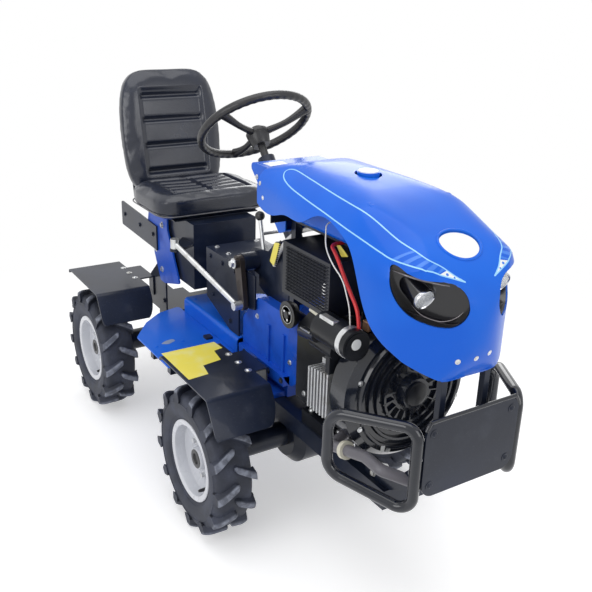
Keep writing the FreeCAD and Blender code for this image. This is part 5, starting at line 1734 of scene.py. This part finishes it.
# ---- fasteners
@dataclass
class Bolting:
    """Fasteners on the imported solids, given in millimetres from the middle of the wheelbase."""

    machine: Machine

    @staticmethod
    def both_sides(places: Places) -> list[Place]:
        """Places on the right with their mirror images on the left."""
        return [*places, *((-x, y, z) for x, y, z in places)]

    def heads(self, name: str, head: Head, finish: Finish, radius: float, facing: Vector, places: Places,
              body: str = "front_body") -> None:
        """Sets one kind of head on flat places that face one way.

        Args:
            name: the piece's name.
            head: the shape of the heads.
            finish: their finish.
            radius: their radius.
            facing: the way that the places face.
            places: where they sit.
            body: the body that carries them.
        """
        points = [(spot, facing, radius * MM) for spot in self.machine.spots(places)]
        attach(name, fastener_heads(points, head, finish), finish, body)

    def sides(self, name: str, head: Head, finish: Finish, radius: float, places: Places,
              body: str = "front_body") -> None:
        """Sets heads on right-hand side faces, and on the left-hand ones that mirror them.

        Args:
            name: the piece's name.
            head: the shape of the heads.
            finish: their finish.
            radius: their radius.
            places: where those on the right sit.
            body: the body that carries them.
        """
        points = [(self.machine.mm(x, y, z), X_AXIS if x > 0 else -X_AXIS, radius * MM)
                  for x, y, z in self.both_sides(places)]
        attach(name, fastener_heads(points, head, finish), finish, body)

    def build(self) -> None:
        """Sets every fastener."""
        dark, zinc, blue = Surface.FRAME_BLACK, Surface.ZINC, Surface.BODY_BLUE
        dome, bolt, rivet, rear = Head.DOME, Head.HEX, Head.RIVET, "rear_body"
        both = self.both_sides
        cover = ((-104, -317, 950), (-104, -371, 905), (-104, -424, 859))
        self.sides("cover_bolts", bolt, zinc, 5.0, cover)
        self.sides("tower_bolts", bolt, dark, 7.0, ((-98, -20, 640), (-98, -100, 640), (-98, -180, 640),
                                                    (-98, -150, 470), (-98, -40, 520)))
        self.heads("tower_top_bolts", bolt, zinc, 6.0, Z_AXIS, both(((-70, -12, 662), (-70, -88, 662))))
        gearbox = [(-108, along, 416) for along in (-470, -400, -330, -260)]
        self.sides("gearbox_bolts", bolt, dark, 6.5, gearbox)
        self.sides("gearbox_plugs", bolt, zinc, 6.0, ((-88, -500, 560), (-88, -480, 470), (-88, -300, 540)))
        crankcase = [(-118, along, height) for along, height in ((-770, 440), (-600, 440), (-640, 600))]
        self.sides("crankcase_bolts", bolt, zinc, 5.5, crankcase)
        feet = both(((-104, -745, 397), (-104, -620, 397)))
        self.heads("engine_feet_bolts", bolt, zinc, 7.0, Z_AXIS, feet)
        for end, axle in (("front", -412), ("rear", 412)):
            fender = both([(-188, axle + along, 448) for along in (98, 40, -16)])
            self.heads(f"fender_bolts_{end}", dome, zinc, 7.5, Z_AXIS, fender, f"{end}_body")
            flange = [(-223, axle + along, 241) for along in (34, -34)]
            self.sides(f"axle_flange_bolts_{end}", bolt, dark, 7.0, flange, f"{end}_body")
        tread = [(across, along, 392) for across in (-300, -215, -135) for along in (-184, -58)]
        self.heads("tread_rivets", rivet, blue, 5.0, Z_AXIS, both(tread))
        self.heads("tunnel_rivets", rivet, blue, 5.0, Z_AXIS, both(((-80, -190, 441), (-80, 130, 441))))
        self.heads("bumper_bolts", dome, dark, 8.0, -Y_AXIS,
                   [(across, -1085, height) for across in (-112, 112) for height in (446, 572)])
        self.sides("stay_bolts", bolt, zinc, 7.0, ((-115, -900, 372), (-115, -1030, 446)))
        bracket = [(-124, along, height) for along, height in ((300, 500), (350, 560), (290, 660))]
        self.sides("bracket_bolts", bolt, zinc, 8.0, bracket, rear)
        shield = [(-130, along, height) for along, height in ((360, 610), (480, 612), (625, 615))]
        self.sides("shield_bolts", bolt, dark, 7.0, shield, rear)
        self.sides("upright_bolts", bolt, dark, 8.0, ((-118, 306, 380), (-118, 410, 380)), rear)
        self.heads("pivot_nut", Head.NUT, zinc, 17.0, Z_AXIS, ((0, 50, 366),))


# ---- hood
class Skin:
    """A surface, for trim that lies on it."""

    def __init__(self, mesh: Mesh) -> None:
        """Reads the surface's triangles.

        Args:
            mesh: the surface.
        """
        built = bmesh.new()
        built.from_mesh(mesh)
        self.tree = BVHTree.FromBMesh(built)
        self.middle = sum((vertex.co for vertex in built.verts), Vector()) / len(built.verts)
        built.free()

    def nearest(self, place: Vector) -> tuple[Vector, Vector]:
        """Finds the nearest place on the outer face of the sheet.

        Args:
            place: where to look from.

        Returns:
            The place found and the way that it faces.
        """
        _, normal, _, _ = self.tree.find_nearest(place)
        outward = normal if normal.dot(place - self.middle) > 0 else -normal
        return self.tree.find_nearest(place + outward * 7 * MM)[:2]

    def struck(self, start: Vector, way: Vector) -> tuple[Vector, Vector]:
        """Where a straight line from a start first meets the surface, and the way that it faces there."""
        spot, normal, _, _ = self.tree.ray_cast(start, way)
        return self.nearest(start) if spot is None else (spot, normal)

    def strip(self, line: Points, width: float, lift: float = 0.35 * MM) -> Mesh:
        """A thin band laid along a line on the surface.

        Args:
            line: points near the surface.
            width: the band's width.
            lift: how far its face stands off the surface.

        Returns:
            The closed band.
        """
        spots = [self.nearest(point) for point in line]
        last = len(spots) - 1
        vertices = []
        for index, (spot, _) in enumerate(spots):
            near = spots[max(index - 2, 0):index + 3]
            normal = sum((facing for _, facing in near), Vector()).normalized()
            along = (spots[min(index + 1, last)][0] - spots[max(index - 1, 0)][0]).normalized()
            across = along.cross(normal).normalized() * (width / 2)
            for side, height in ((-1, -0.5 * MM), (-1, lift), (1, lift), (1, -0.5 * MM)):
                vertices.append(spot + across * side + normal * height)
        faces = grid_faces(len(spots), 4, wrap_columns=True)
        faces += [(0, 1, 2, 3), tuple(last * 4 + step for step in range(4))]
        return mesh_from(vertices, faces)

    def patch(self, rows: Sequence[Points], lift: float) -> Mesh:
        """A thin closed sheet laid on the surface.

        Args:
            rows: rows of points near the surface.
            lift: how far the sheet's face stands off it.

        Returns:
            The closed sheet.
        """
        spots = [self.nearest(point) for row in rows for point in row]
        top = [spot + normal * lift for spot, normal in spots]
        low = [spot - normal * 0.5 * MM for spot, normal in spots]
        return closed_sheet(top, low, len(rows), len(rows[0]))


@dataclass
class Hood:
    """The hood's trim: pinstriped band on each flank, vent lip, chin rivets and filler cap.

    Places are in millimetres on the right-hand flank, from the middle of the wheelbase. The band's
    lists run from its rounded tail to the tip over the lamp.
    """

    machine: Machine
    upper: Places = ((-103, -503, 1006), (-111, -583, 1002), (-122, -683, 995), (-130, -773, 989),
                     (-130, -862, 976), (-123, -933, 951), (-113, -978, 939), (-102, -1005, 927),
                     (-80, -1024, 913), (-62, -1040, 898))
    lower: Places = ((-142, -544, 977), (-150, -624, 967), (-157, -718, 957), (-163, -804, 947),
                     (-163, -858, 939), (-157, -921, 926), (-149, -955, 918), (-131, -1003, 914),
                     (-100, -1032, 906), (-86, -1039, 900))
    tail: Places = ((-114, -480, 1001), (-131, -496, 989))
    tip: Place = (-40, -1053, 884)
    line_width: float = 3.0 * MM
    fades: Profile = ((-0.03, 0.02), (0.10, 0.16), (0.24, 0.305), (0.37, 0.44), (0.505, 0.565))
    white: tuple[float, float] = (0.60, 1.0)
    dots: Profile = ((0.70, 3.2), (0.83, 2.2))
    vent: Place = (0, -983, 943)
    vent_half: tuple[float, float] = (52.0, 37.0)
    cap: Place = (0, -662, 1025)
    rivets: Places = ((-53, -1070, 717), (-9, -1076, 718), (29, -1077, 722))
    flank_rivets: Places = ((-150, -412, 958), (-150, -432, 925))

    @cached_property
    def skin(self) -> Skin:
        """The dressed hood's surface."""
        return Skin(bpy.data.objects["hood_finished"].data)

    def flank(self, places: Places, side: float) -> list[Vector]:
        """Places on one flank; side is -1 on the driver's right."""
        return self.machine.spots([(-side * x, y, z) for x, y, z in places])

    def edge(self, places: Places, share: float, side: float) -> Vector:
        """Finds a place on an edge of the band between the lamp's inner corner and the tip.

        Args:
            places: the edge.
            share: how far along, from 0 to 1; a little below 0 is before the corner.
            side: -1 on the driver's right and 1 on the left.

        Returns:
            The place.
        """
        line = self.flank((*places[-4:], self.tip), side)
        along = min(max(share, -0.2), 1.0) * (len(line) - 1)
        step = min(max(int(along), 0), len(line) - 2)
        return line[step].lerp(line[step + 1], along - step)

    def block(self, span: tuple[float, float], side: float, lift: float) -> Mesh:
        """A patch across the band.

        Args:
            span: the shares of the band's tip that it starts and ends at.
            side: -1 on the driver's right and 1 on the left.
            lift: how far its face stands off the hood.

        Returns:
            The patch.
        """
        rows = []
        for step in range(13):
            share = span[0] + (span[1] - span[0]) * step / 12
            low, high = self.edge(self.lower, share, side), self.edge(self.upper, share, side)
            rows.append([low.lerp(high, 0.03 + 0.94 * across / 8) for across in range(9)])
        return self.skin.patch(rows, lift)

    def dot(self, share: float, radius: float, side: float) -> Mesh:
        """A round dot in the middle of the band.

        Args:
            share: where it sits along the band's tip.
            radius: its radius in millimetres.
            side: -1 on the driver's right and 1 on the left.

        Returns:
            The dot.
        """
        middle = self.edge(self.lower, share, side).lerp(self.edge(self.upper, share, side), 0.5)
        spot, normal = self.skin.nearest(middle)
        return lathe([(0, radius), (0.6, radius)], spot, normal, 20, unit=MM)

    def band(self, side: float, name: str) -> None:
        """Lays the pinstripe round the band, its fading blocks, its white tip and the dots.

        Args:
            side: -1 on the driver's right and 1 on the left.
            name: the side's name.
        """
        outline = self.flank([self.tip, *reversed(self.upper), *self.tail, *self.lower, self.tip], side)
        line = self.skin.strip(smooth_line(outline, 14), self.line_width)
        attach(f"pinstripe_{name}", line, Trim.PALE_LINE)
        blocks = [self.block(span, side, 0.25 * MM) for span in self.fades]
        attach(f"band_blocks_{name}", merged(blocks), Trim.STRIPE_BLUE)
        attach(f"band_tip_{name}", self.block(self.white, side, 0.30 * MM), Trim.WHITE_LABEL)
        dots = [self.dot(share, radius, side) for share, radius in self.dots]
        attach(f"band_dots_{name}", merged(dots), Trim.STRIPE_BLUE)

    def vent_lip(self) -> None:
        """Lays the rounded lip round the vent."""
        points = []
        for way in circle(72, X_AXIS * self.vent_half[0] * MM, Y_AXIS * self.vent_half[1] * MM):
            above = self.machine.mm(*self.vent) + way + Z_AXIS * 150 * MM
            spot, _ = self.skin.struck(above, -Z_AXIS)
            points.append(spot - Z_AXIS * 0.8 * MM)
        attach("vent_lip", tube(points, 3.6 * MM, 14, True), Surface.BODY_BLUE)

    def filler_cap(self) -> None:
        """Sets the white cap in the filler hole."""
        profile = [(-6, 24), (2.2, 24), (3.4, 22.8), (3.8, 21), (3.2, 17), (3.4, 6), (3.4, 0)]
        cap = lathe(profile, self.machine.mm(*self.cap), Z_AXIS, 48, unit=MM)
        attach("filler_cap", cap, Trim.WHITE_LABEL)

    def rivet_line(self, name: str, spots: Points, way: Vector, radius: float) -> None:
        """Sets rivets on the surface where lines along a way meet it.

        Args:
            name: the piece's name.
            spots: a place on each line.
            way: the way that the lines run, towards the surface.
            radius: the rivets' radius in millimetres.
        """
        points = [(*self.skin.struck(spot - way * 0.2, way), radius * MM) for spot in spots]
        attach(name, fastener_heads(points, Head.RIVET, Surface.ZINC), Surface.ZINC)

    def build(self) -> None:
        """Builds all of the hood's trim."""
        for side, name in ((-1.0, "right"), (1.0, "left")):
            self.band(side, name)
            rivets = self.flank(self.flank_rivets, side)
            self.rivet_line(f"flank_rivets_{name}", rivets, X_AXIS * -side, 4.2)
        self.vent_lip()
        self.filler_cap()
        self.rivet_line("chin_rivets", self.machine.spots(self.rivets), Y_AXIS, 4.5)


@dataclass
class Headlamp:
    """One lamp in its black bowl: bezel, reflector, clear lens; its lip and moulded line are painted
    highlights.
    """

    machine: Machine
    side: float
    face: Place = (106, -1005, 846)
    dip: float = math.radians(24.0)
    lip: Places = ((143, -948, 893), (131, -959, 888), (119, -976, 884), (105, -993, 880), (88, -1004, 876),
                   (73, -1017, 873), (59, -1029, 871))
    line: Places = ((112, -979, 822), (103, -992, 808), (91, -1006, 799), (72, -1024, 794),
                    (55, -1037, 798), (43, -1047, 808), (37, -1053, 819))

    def placed(self, places: Places) -> list[Vector]:
        """Places on this lamp's side."""
        return self.machine.spots([(self.side * x, y, z) for x, y, z in places])

    def turned(self, profile: Profile) -> Mesh:
        """A form turned about the way that the lamp looks, from millimetres."""
        aim = Vector((0, -math.cos(self.dip), -math.sin(self.dip)))
        return lathe(profile, self.placed([self.face])[0], aim, 48, unit=MM)

    def lined(self, places: Places, radius: float) -> Mesh:
        """A thin moulded line through places on this side, from millimetres."""
        return tube(smooth_line(self.placed(places), 6),
                    lambda share: radius * MM * (0.35 + 0.65 * math.sin(math.pi * share)), 10)

    def build(self) -> None:
        """Builds the lamp."""
        bezel = self.turned([(-1, 24.8), (5, 26.0), (8, 25.2), (8.6, 23.6), (7.0, 22.0), (0.4, 21.4)])
        bowl = self.turned([(0.5, 21.4), (6.4, 21.6), (4.6, 18.5), (3.0, 14), (1.8, 8), (1.6, 5.5),
                            (5.0, 5.0), (5.8, 3), (6.0, 0)])
        lens = self.turned([(9.6, 0), (9.2, 8), (8.4, 14), (7.4, 19), (6.6, 21.8), (6.1, 21.8), (6.9, 19),
                            (7.9, 14), (8.7, 8), (9.1, 0)])
        # The lip and the moulded line are pale grey tubes: painted highlights along the black bowl's edges.
        lip, line = self.lined(self.lip, 2.6), self.lined(self.line, 1.2)
        side = "left" if self.side > 0 else "right"
        for name, mesh, finish in (("bezel", bezel, Trim.CHROME), ("reflector", bowl, Trim.CHROME),
                                   ("lens", lens, Trim.LENS), ("lip", lip, Trim.GLOSS_GREY),
                                   ("line", line, Trim.GLOSS_GREY)):
            attach(f"lamp_{name}_{side}", mesh, finish)


# ---- engine bay
@dataclass
class EngineBay:
    """Small parts round the engine, in millimetres from the middle of the wheelbase."""

    machine: Machine
    lip_rows: int = 28
    lip_columns: int = 13
    lip_pitch: tuple[float, float] = (14.2, 4.14)
    shroud: Place = (0, -874, 548)
    screw_ring: float = 157.0
    screws: int = 8
    ribs: int = 18
    starter: Place = (-165, -872, 697)
    cap: Place = (-130, -526, 636)

    def turned(self, profile: Profile, place: Place, axis: Vector, steps: int = 40) -> Mesh:
        """A form turned about an axis through a place."""
        return lathe(profile, self.machine.mm(*place), axis, steps, unit=MM)

    def round_bar(self, places: Places, radius: float, sides: int = 12) -> Mesh:
        """A bent round bar through places."""
        return tube(smooth_line(self.machine.spots(places), 5), radius * MM, sides)

    def block(self, low: Place, high: Place, edge: float) -> Mesh:
        """A block with rounded edges.

        Args:
            low: one corner.
            high: the opposite corner.
            edge: how far its edges are rounded.

        Returns:
            The mesh.
        """
        outline = self.machine.spots([low, (high[0], *low[1:]), (*high[:2], low[2]),
                                      (low[0], high[1], low[2])])
        solid = extruded(outline, Z_AXIS * (high[2] - low[2]) * MM)
        return taken_out(bevelled(new_object("block", solid), edge * MM))

    def guard_lips(self) -> None:
        """Sets short pressed lips in rows on both sides of the guard."""
        lip = [(-5.4, -1.2, 0), (5.4, -1.2, 0), (5.4, 1.2, 0), (-5.4, 1.2, 0), (-4.2, 0.2, 2), (4.2, 0.2, 2)]
        faces = [(0, 1, 5, 4), (1, 2, 5), (2, 3, 4, 5), (3, 0, 4), (3, 2, 1, 0)]
        base = mesh_from([Vector(point) * MM for point in lip], faces)
        tree = GeometryTree("guard_lips")
        pitch, rise = self.lip_pitch
        grid = tree.add("GeometryNodeMeshGrid", inputs={
            "Vertices X": tree.size("Columns", self.lip_columns),
            "Vertices Y": tree.size("Rows", self.lip_rows),
            "Size X": tree.size("Length", pitch * (self.lip_columns - 1) * MM),
            "Size Y": tree.size("Height", rise * (self.lip_rows - 1) * MM)})
        shift = tree.add("GeometryNodeInputIndex") % 2.0 * (pitch * 0.4 * MM)
        offset = tree.add("ShaderNodeCombineXYZ", inputs={"X": shift})
        moved = tree.add("GeometryNodeSetPosition", inputs={"Geometry": grid, "Offset": offset})
        inputs = {"Points": moved, "Instance": tree.geometry}
        sheet = tree.run(base, Surface.GUARD_BLACK, tree.add("GeometryNodeInstanceOnPoints", inputs=inputs))
        for side, face, name in ((-1.0, -150, "right"), (1.0, 130, "left")):
            turned = sheet.copy()
            frame = Matrix((Y_AXIS * side, Z_AXIS, X_AXIS * side)).transposed().to_4x4()
            turned.transform(Matrix.Translation(self.machine.mm(face, -638, 776)) @ frame)
            attach(f"guard_lips_{name}", turned, Surface.GUARD_BLACK)

    def shroud_trim(self) -> None:
        """Sets ribs, screws and a turned hub on the fan housing."""
        x, y, z = self.shroud
        rib = [Vector((0, across, away)) * MM
               for across, away in ((-1.6, 52), (1.6, 52), (1.6, 86), (-1.6, 86))]
        ribs = turned_copies(extruded(rib, X_AXIS * 8 * MM), self.ribs, Surface.SHROUD_BLACK)
        turn = Matrix((-Y_AXIS, X_AXIS, Z_AXIS)).transposed().to_4x4()
        ribs.transform(Matrix.Translation(self.machine.mm(x, y, z)) @ turn)
        attach("shroud_ribs", ribs, Surface.SHROUD_BLACK)
        points = []
        for number in range(self.screws):
            angle = math.radians(25) + math.tau * number / self.screws
            across, up = self.screw_ring * math.cos(angle), self.screw_ring * math.sin(angle)
            points.append((self.machine.mm(x + across, y, z + up), -Y_AXIS, 5.0 * MM))
        attach("shroud_screws", fastener_heads(points, Head.HEX, Surface.ZINC), Surface.ZINC)
        hub = self.turned([(0, 0), (0, 30), (4, 30), (7, 22), (7, 0)], (x, y - 22, z), -Y_AXIS)
        attach("shroud_hub", hub, Surface.ENGINE_BLACK)

    def starter_trim(self) -> None:
        """Sets the starter's bright band, bare disc, terminal lug and bracket, and the rods beside it."""
        x, y, z = self.starter
        band = [(-16, 35.0), (-17, 37.2), (-31, 37.2), (-32, 35.0)]
        attach("starter_band", self.turned(band, self.starter, -Y_AXIS, 56), Surface.ZINC)
        disc = [(0.0, 13.0), (2.2, 13.0), (2.5, 12.0), (2.5, 0.0)]
        attach("starter_disc", self.turned(disc, (x - 2, y, z + 4), -Y_AXIS), Trim.WHITE_LABEL)
        end = [(0.0, 29.0), (1.9, 29.0), (1.9, 0.0)]
        attach("starter_end", self.turned(end, self.starter, -Y_AXIS), Surface.ENGINE_BLACK)
        lug = self.block((x + 62, y + 42, z + 2), (x + 72, y + 64, z + 26), 2.0)
        attach("starter_lug", lug, Trim.RUST)
        bracket = self.block((x - 22, y + 62, z + 26), (x - 2, y + 118, z + 37), 3.0)
        attach("starter_bracket", bracket, Surface.ZINC)
        rod = self.round_bar(((x + 18, y + 212, 703), (x + 16, y + 180, 702), (x + 14, y + 128, 698)), 4.5)
        attach("choke_rod", rod, Trim.CREAM)
        line = self.round_bar(((x + 17, y + 252, 640), (x - 26, y + 150, 676)), 2.2)
        attach("dipstick_line", line, Surface.ZINC)
        dipstick = self.round_bar(((x + 24, y + 256, 628), (x - 14, y + 134, 668)), 13, 20)
        attach("dipstick", dipstick, Surface.ENGINE_BLACK)

    def cap_trim(self) -> None:
        """Sets a ring and screws on the round cap."""
        x, y, z = self.cap
        ring = self.turned([(0.0, 22.5), (1.2, 22.5), (1.2, 24.0), (0.0, 24.0)], self.cap, -X_AXIS, 44)
        attach("cap_ring", ring, Surface.ZINC)
        points = [(self.machine.mm(x, y + 14 * math.cos(turn), z + 14 * math.sin(turn)), -X_AXIS, 3.0 * MM)
                  for turn in (0.4, 2.5, 4.6)]
        attach("cap_screws", fastener_heads(points, Head.RIVET, Surface.ZINC), Surface.ZINC)

    def cable_trim(self) -> None:
        """Sets the yellow tags by the cable and the hose, the hose's beaded tie and the pipe's collar."""
        flag = ((-112, -704, 872), (-112, -718, 876), (-112, -752, 858), (-112, -726, 850))
        tag = ((-73, -392, 782), (-73, -362, 776), (-73, -338, 716), (-73, -360, 708))
        for name, places in (("cable_flag", flag), ("hose_tag", tag)):
            outline = rounded(self.machine.spots(places), 4 * MM)
            attach(name, extruded(outline, X_AXIS * 2 * MM), Trim.YELLOW_LABEL)
        bead = [(-2.6, 0), (-1.6, 2.1), (0, 2.8), (1.6, 2.1), (2.6, 0)]
        beads = [self.turned(bead, (-76, -398 + 22 * step / 12, 790 - 74 * step / 12), Z_AXIS, 8)
                 for step in range(13)]
        attach("hose_tie", merged(beads), Surface.WHEEL_PLASTIC)
        collar = [(52.5, 14.2), (52.5, 21.5), (53.5, 22.2), (64.5, 22.2), (65.5, 21.5), (65.5, 14.2)]
        attach("pipe_collar", self.turned(collar, (-158, -790, 400), Vector((0, -130, 40))), Trim.CREAM)

    def build(self) -> None:
        """Builds the small parts."""
        self.guard_lips()
        self.shroud_trim()
        self.starter_trim()
        self.cap_trim()
        self.cable_trim()


# ---- body trim
@dataclass
class BodyTrim:
    """Bare labels, clip, rubbed paint, lever knobs, arm nut and seat piping."""

    machine: Machine

    def sheet(self, name: str, outline: Places, finish: Finish, along: Vector, corner: float = 2.0) -> None:
        """Adds a thin sheet with rounded corners.

        Args:
            name: the piece's name.
            outline: its flat outline in millimetres.
            finish: its finish.
            along: the way and the distance that it is thick.
            corner: how far its corners are rounded, in millimetres.
        """
        points = rounded(self.machine.spots(outline), corner * MM)
        attach(name, extruded(points, along), finish)

    def labels(self) -> None:
        """Adds the blank labels and plates."""
        lift = Z_AXIS * 0.5 * MM
        self.sheet("cover_label", ((-88, -318, 985), (-30, -318, 985), (-30, -366, 985), (-88, -366, 985)),
                   Trim.WHITE_LABEL, lift, 4.0)
        fender = [(-352, -220), (-187, -220), (-184, -268), (-214, -274), (-223, -334), (-282, -344),
                  (-292, -396), (-352, -402)]
        self.sheet("fender_label", [(x, y, 448) for x, y in fender], Trim.YELLOW_LABEL, lift, 0.8)
        bumper = [(-84, 408), (-72, 406), (-70, 422), (-82, 424)]
        self.sheet("bumper_label", [(x, -882.2, z) for x, z in bumper], Trim.WHITE_LABEL, Y_AXIS * -0.5 * MM)

    def plate_roll(self) -> None:
        """Adds the rolled top edge of the bumper plate."""
        half = [(133, 582), (122, 598), (100, 600)]
        line = [(-x, -1082.5, z) for x, z in half] + [(x, -1082.5, z) for x, z in reversed(half)]
        roll = tube(smooth_line(self.machine.spots(line), 5), 4.6 * MM, 14)
        attach("bumper_plate_roll", roll, Surface.SHROUD_BLACK)

    def footboard(self) -> None:
        """Adds a black clip and a rubbed patch on the right footboard."""
        clip = [(-124, -62, 392), (-124, -88, 392), (-148, -88, 392), (-148, -62, 392)]
        self.sheet("footboard_clip", clip, Surface.WHEEL_PLASTIC, Z_AXIS * 7 * MM, 5.0)
        rub = [(-236, -30, 392), (-232, -46, 392), (-262, -60, 392), (-282, -48, 392), (-262, -34, 392)]
        self.sheet("footboard_rub", rub, Trim.GREY_SMUDGE, Z_AXIS * 0.3 * MM, 6.0)

    def knobs(self) -> None:
        """Adds the black balls on the levers."""
        turns = [math.pi * step / 12 for step in range(13)]
        profile = [(-14 * math.cos(turn), 14 * math.sin(turn)) for turn in turns]
        balls = [lathe(profile, self.machine.mm(across, -238, 816), Z_AXIS, 28, unit=MM)
                 for across in (-48, 48)]
        attach("lever_knobs", merged(balls), Surface.WHEEL_PLASTIC)

    def arm_nut(self) -> None:
        """Adds the bright nut on the drop arm's shaft."""
        point = (self.machine.mm(-131, -235, 686), -X_AXIS, 11 * MM)
        attach("arm_nut", fastener_heads([point], Head.NUT, Surface.ZINC), Surface.ZINC, "pitman_arm")

    def piping(self) -> None:
        """Adds the pale cord sewn round the foot of the cushion."""
        low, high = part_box("seat_cushion")
        inset = Vector((0.004, 0.004, 0))
        first, last = low + inset, high - inset
        outline = [Vector((x, y, low.z + 0.016)) for x, y in ((first.x, first.y), (last.x, first.y),
                                                              (last.x, last.y), (first.x, last.y))]
        cord = tube(rounded(outline, 0.062, 10), 2.2 * MM, 10, True)
        attach("seat_piping", cord, Trim.PIPING, "rear_body")

    def build(self) -> None:
        """Builds the body's trim."""
        self.labels()
        self.plate_roll()
        self.footboard()
        self.knobs()
        self.arm_nut()
        self.piping()


# ---- camera, lights and floor
@dataclass
class Studio:
    """Plain pale studio with soft boxes, and the camera at the driver's front right."""

    machine: Machine
    position: Place = (-1.136, -2.135, 1.432)
    azimuth: float = math.radians(-32.68)
    elevation: float = math.radians(21.39)
    roll: float = math.radians(1.75)
    lens: float = 48.65
    sensor: float = 36.0
    world_strength: float = 0.58
    fade: tuple[float, float] = (1.1, 2.2)
    floor_half: float = 30.0

    def camera(self) -> None:
        """Places the camera and makes it the scene's."""
        data = bpy.data.cameras.new("camera")
        data.lens, data.sensor_width = self.lens, self.sensor
        camera = bpy.data.objects.new("camera", data)
        bpy.context.scene.collection.objects.link(camera)
        right = Vector((math.cos(self.azimuth), math.sin(self.azimuth), 0))
        back = Z_AXIS * math.sin(self.elevation) + right.cross(Z_AXIS) * math.cos(self.elevation)
        up = back.cross(right)
        level = right * math.cos(self.roll) + up * math.sin(self.roll)
        upright = up * math.cos(self.roll) - right * math.sin(self.roll)
        turn = Matrix((level, upright, back)).transposed().to_4x4()
        camera.matrix_world = Matrix.Translation(self.machine.at(*self.position)) @ turn
        bpy.context.scene.camera = camera

    def box_light(self, name: str, place: Place, size: tuple[float, float], power: float) -> None:
        """Adds one soft box that looks at the machine's middle.

        Args:
            name: the light's name.
            place: where it stands.
            size: its width and height.
            power: its power in watts.
        """
        data = bpy.data.lights.new(name, "AREA")
        data.shape = "RECTANGLE"
        data.size, data.size_y = size
        data.energy = power
        light = bpy.data.objects.new(name, data)
        light.location = self.machine.at(*place)
        light.rotation_mode = "QUATERNION"
        light.rotation_quaternion = (self.machine.at(0, 0, 0.5) - light.location).to_track_quat("-Z", "Y")
        bpy.context.scene.collection.objects.link(light)

    def lights(self) -> None:
        """Adds soft boxes over, beside, ahead of and behind the machine."""
        self.box_light("overhead", (-0.3, -0.4, 3.4), (3.2, 3.2), 46)
        self.box_light("right_side", (-3.2, -1.2, 1.9), (2.2, 1.6), 34)
        self.box_light("front", (0.8, -3.6, 1.8), (1.6, 1.6), 22)
        self.box_light("left_rear", (2.4, 2.6, 2.2), (2.0, 1.4), 26)

    def world(self) -> None:
        """Sets a grey world that the camera and glossy rays see as white."""
        world = bpy.data.worlds.new("studio")
        bpy.context.scene.world = world
        world.use_nodes = True
        nodes = Nodes(world.node_tree)
        light, white = (nodes.add("ShaderNodeBackground", inputs={"Color": (1, 1, 1), "Strength": strength})
                        for strength in (self.world_strength, 1.0))
        mix = nodes.add("ShaderNodeMixShader", inputs={0: nodes.background_rays(), 1: light, 2: white})
        nodes.add("ShaderNodeOutputWorld", inputs={"Surface": mix})

    def floor(self) -> None:
        """Lays a wide pale floor just under the tyres, lost in white far out."""
        half = self.floor_half
        rim = [(-half, -half, 0), (half, -half, 0), (half, half, 0), (-half, half, 0)]
        mesh = mesh_from(rim, [(0, 1, 2, 3)])
        shader = Shader("floor_white")
        plain = shader.add("ShaderNodeBsdfPrincipled", inputs={
            "Base Color": (0.86, 0.86, 0.87), "Roughness": shader.noise(0.6, 2) * 0.1 + 0.75})
        glow, white = (shader.add("ShaderNodeEmission", inputs={"Color": (1, 1, 1), "Strength": strength})
                       for strength in (0.35, 1.0))
        both = shader.add("ShaderNodeAddShader", inputs={0: plain, 1: glow})
        away = shader.add("ShaderNodeVectorMath", {"operation": "LENGTH"}, {0: shader.place}, "Value")
        inputs = {0: away.clamped(*self.fade), 1: both, 2: white}
        faded = shader.add("ShaderNodeMixShader", inputs=inputs)
        inputs = {0: shader.background_rays(), 1: plain, 2: faded}
        mesh.materials.append(shader.ended(shader.add("ShaderNodeMixShader", inputs=inputs)))
        new_object("floor", mesh)

    def build(self) -> None:
        """Sets up the whole studio."""
        bpy.context.scene.view_settings.view_transform = "Standard"
        self.camera()
        self.lights()
        self.world()
        self.floor()


def main() -> None:
    """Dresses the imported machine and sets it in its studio."""
    logging.basicConfig(level=logging.INFO, format="%(name)s: %(message)s")
    machine = Machine(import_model())
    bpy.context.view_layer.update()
    Studio(machine).build()
    Dresser(machine).build()
    for end in ("front", "rear"):
        for side in ("left", "right"):
            Wheel(machine, end, side).build()
    for part in (Seat, SteeringWheel, Bolting, Hood):
        part(machine).build()
    for side in (-1.0, 1.0):
        Headlamp(machine, side).build()
    EngineBay(machine).build()
    BodyTrim(machine).build()


if __name__ == "__main__":
    main()
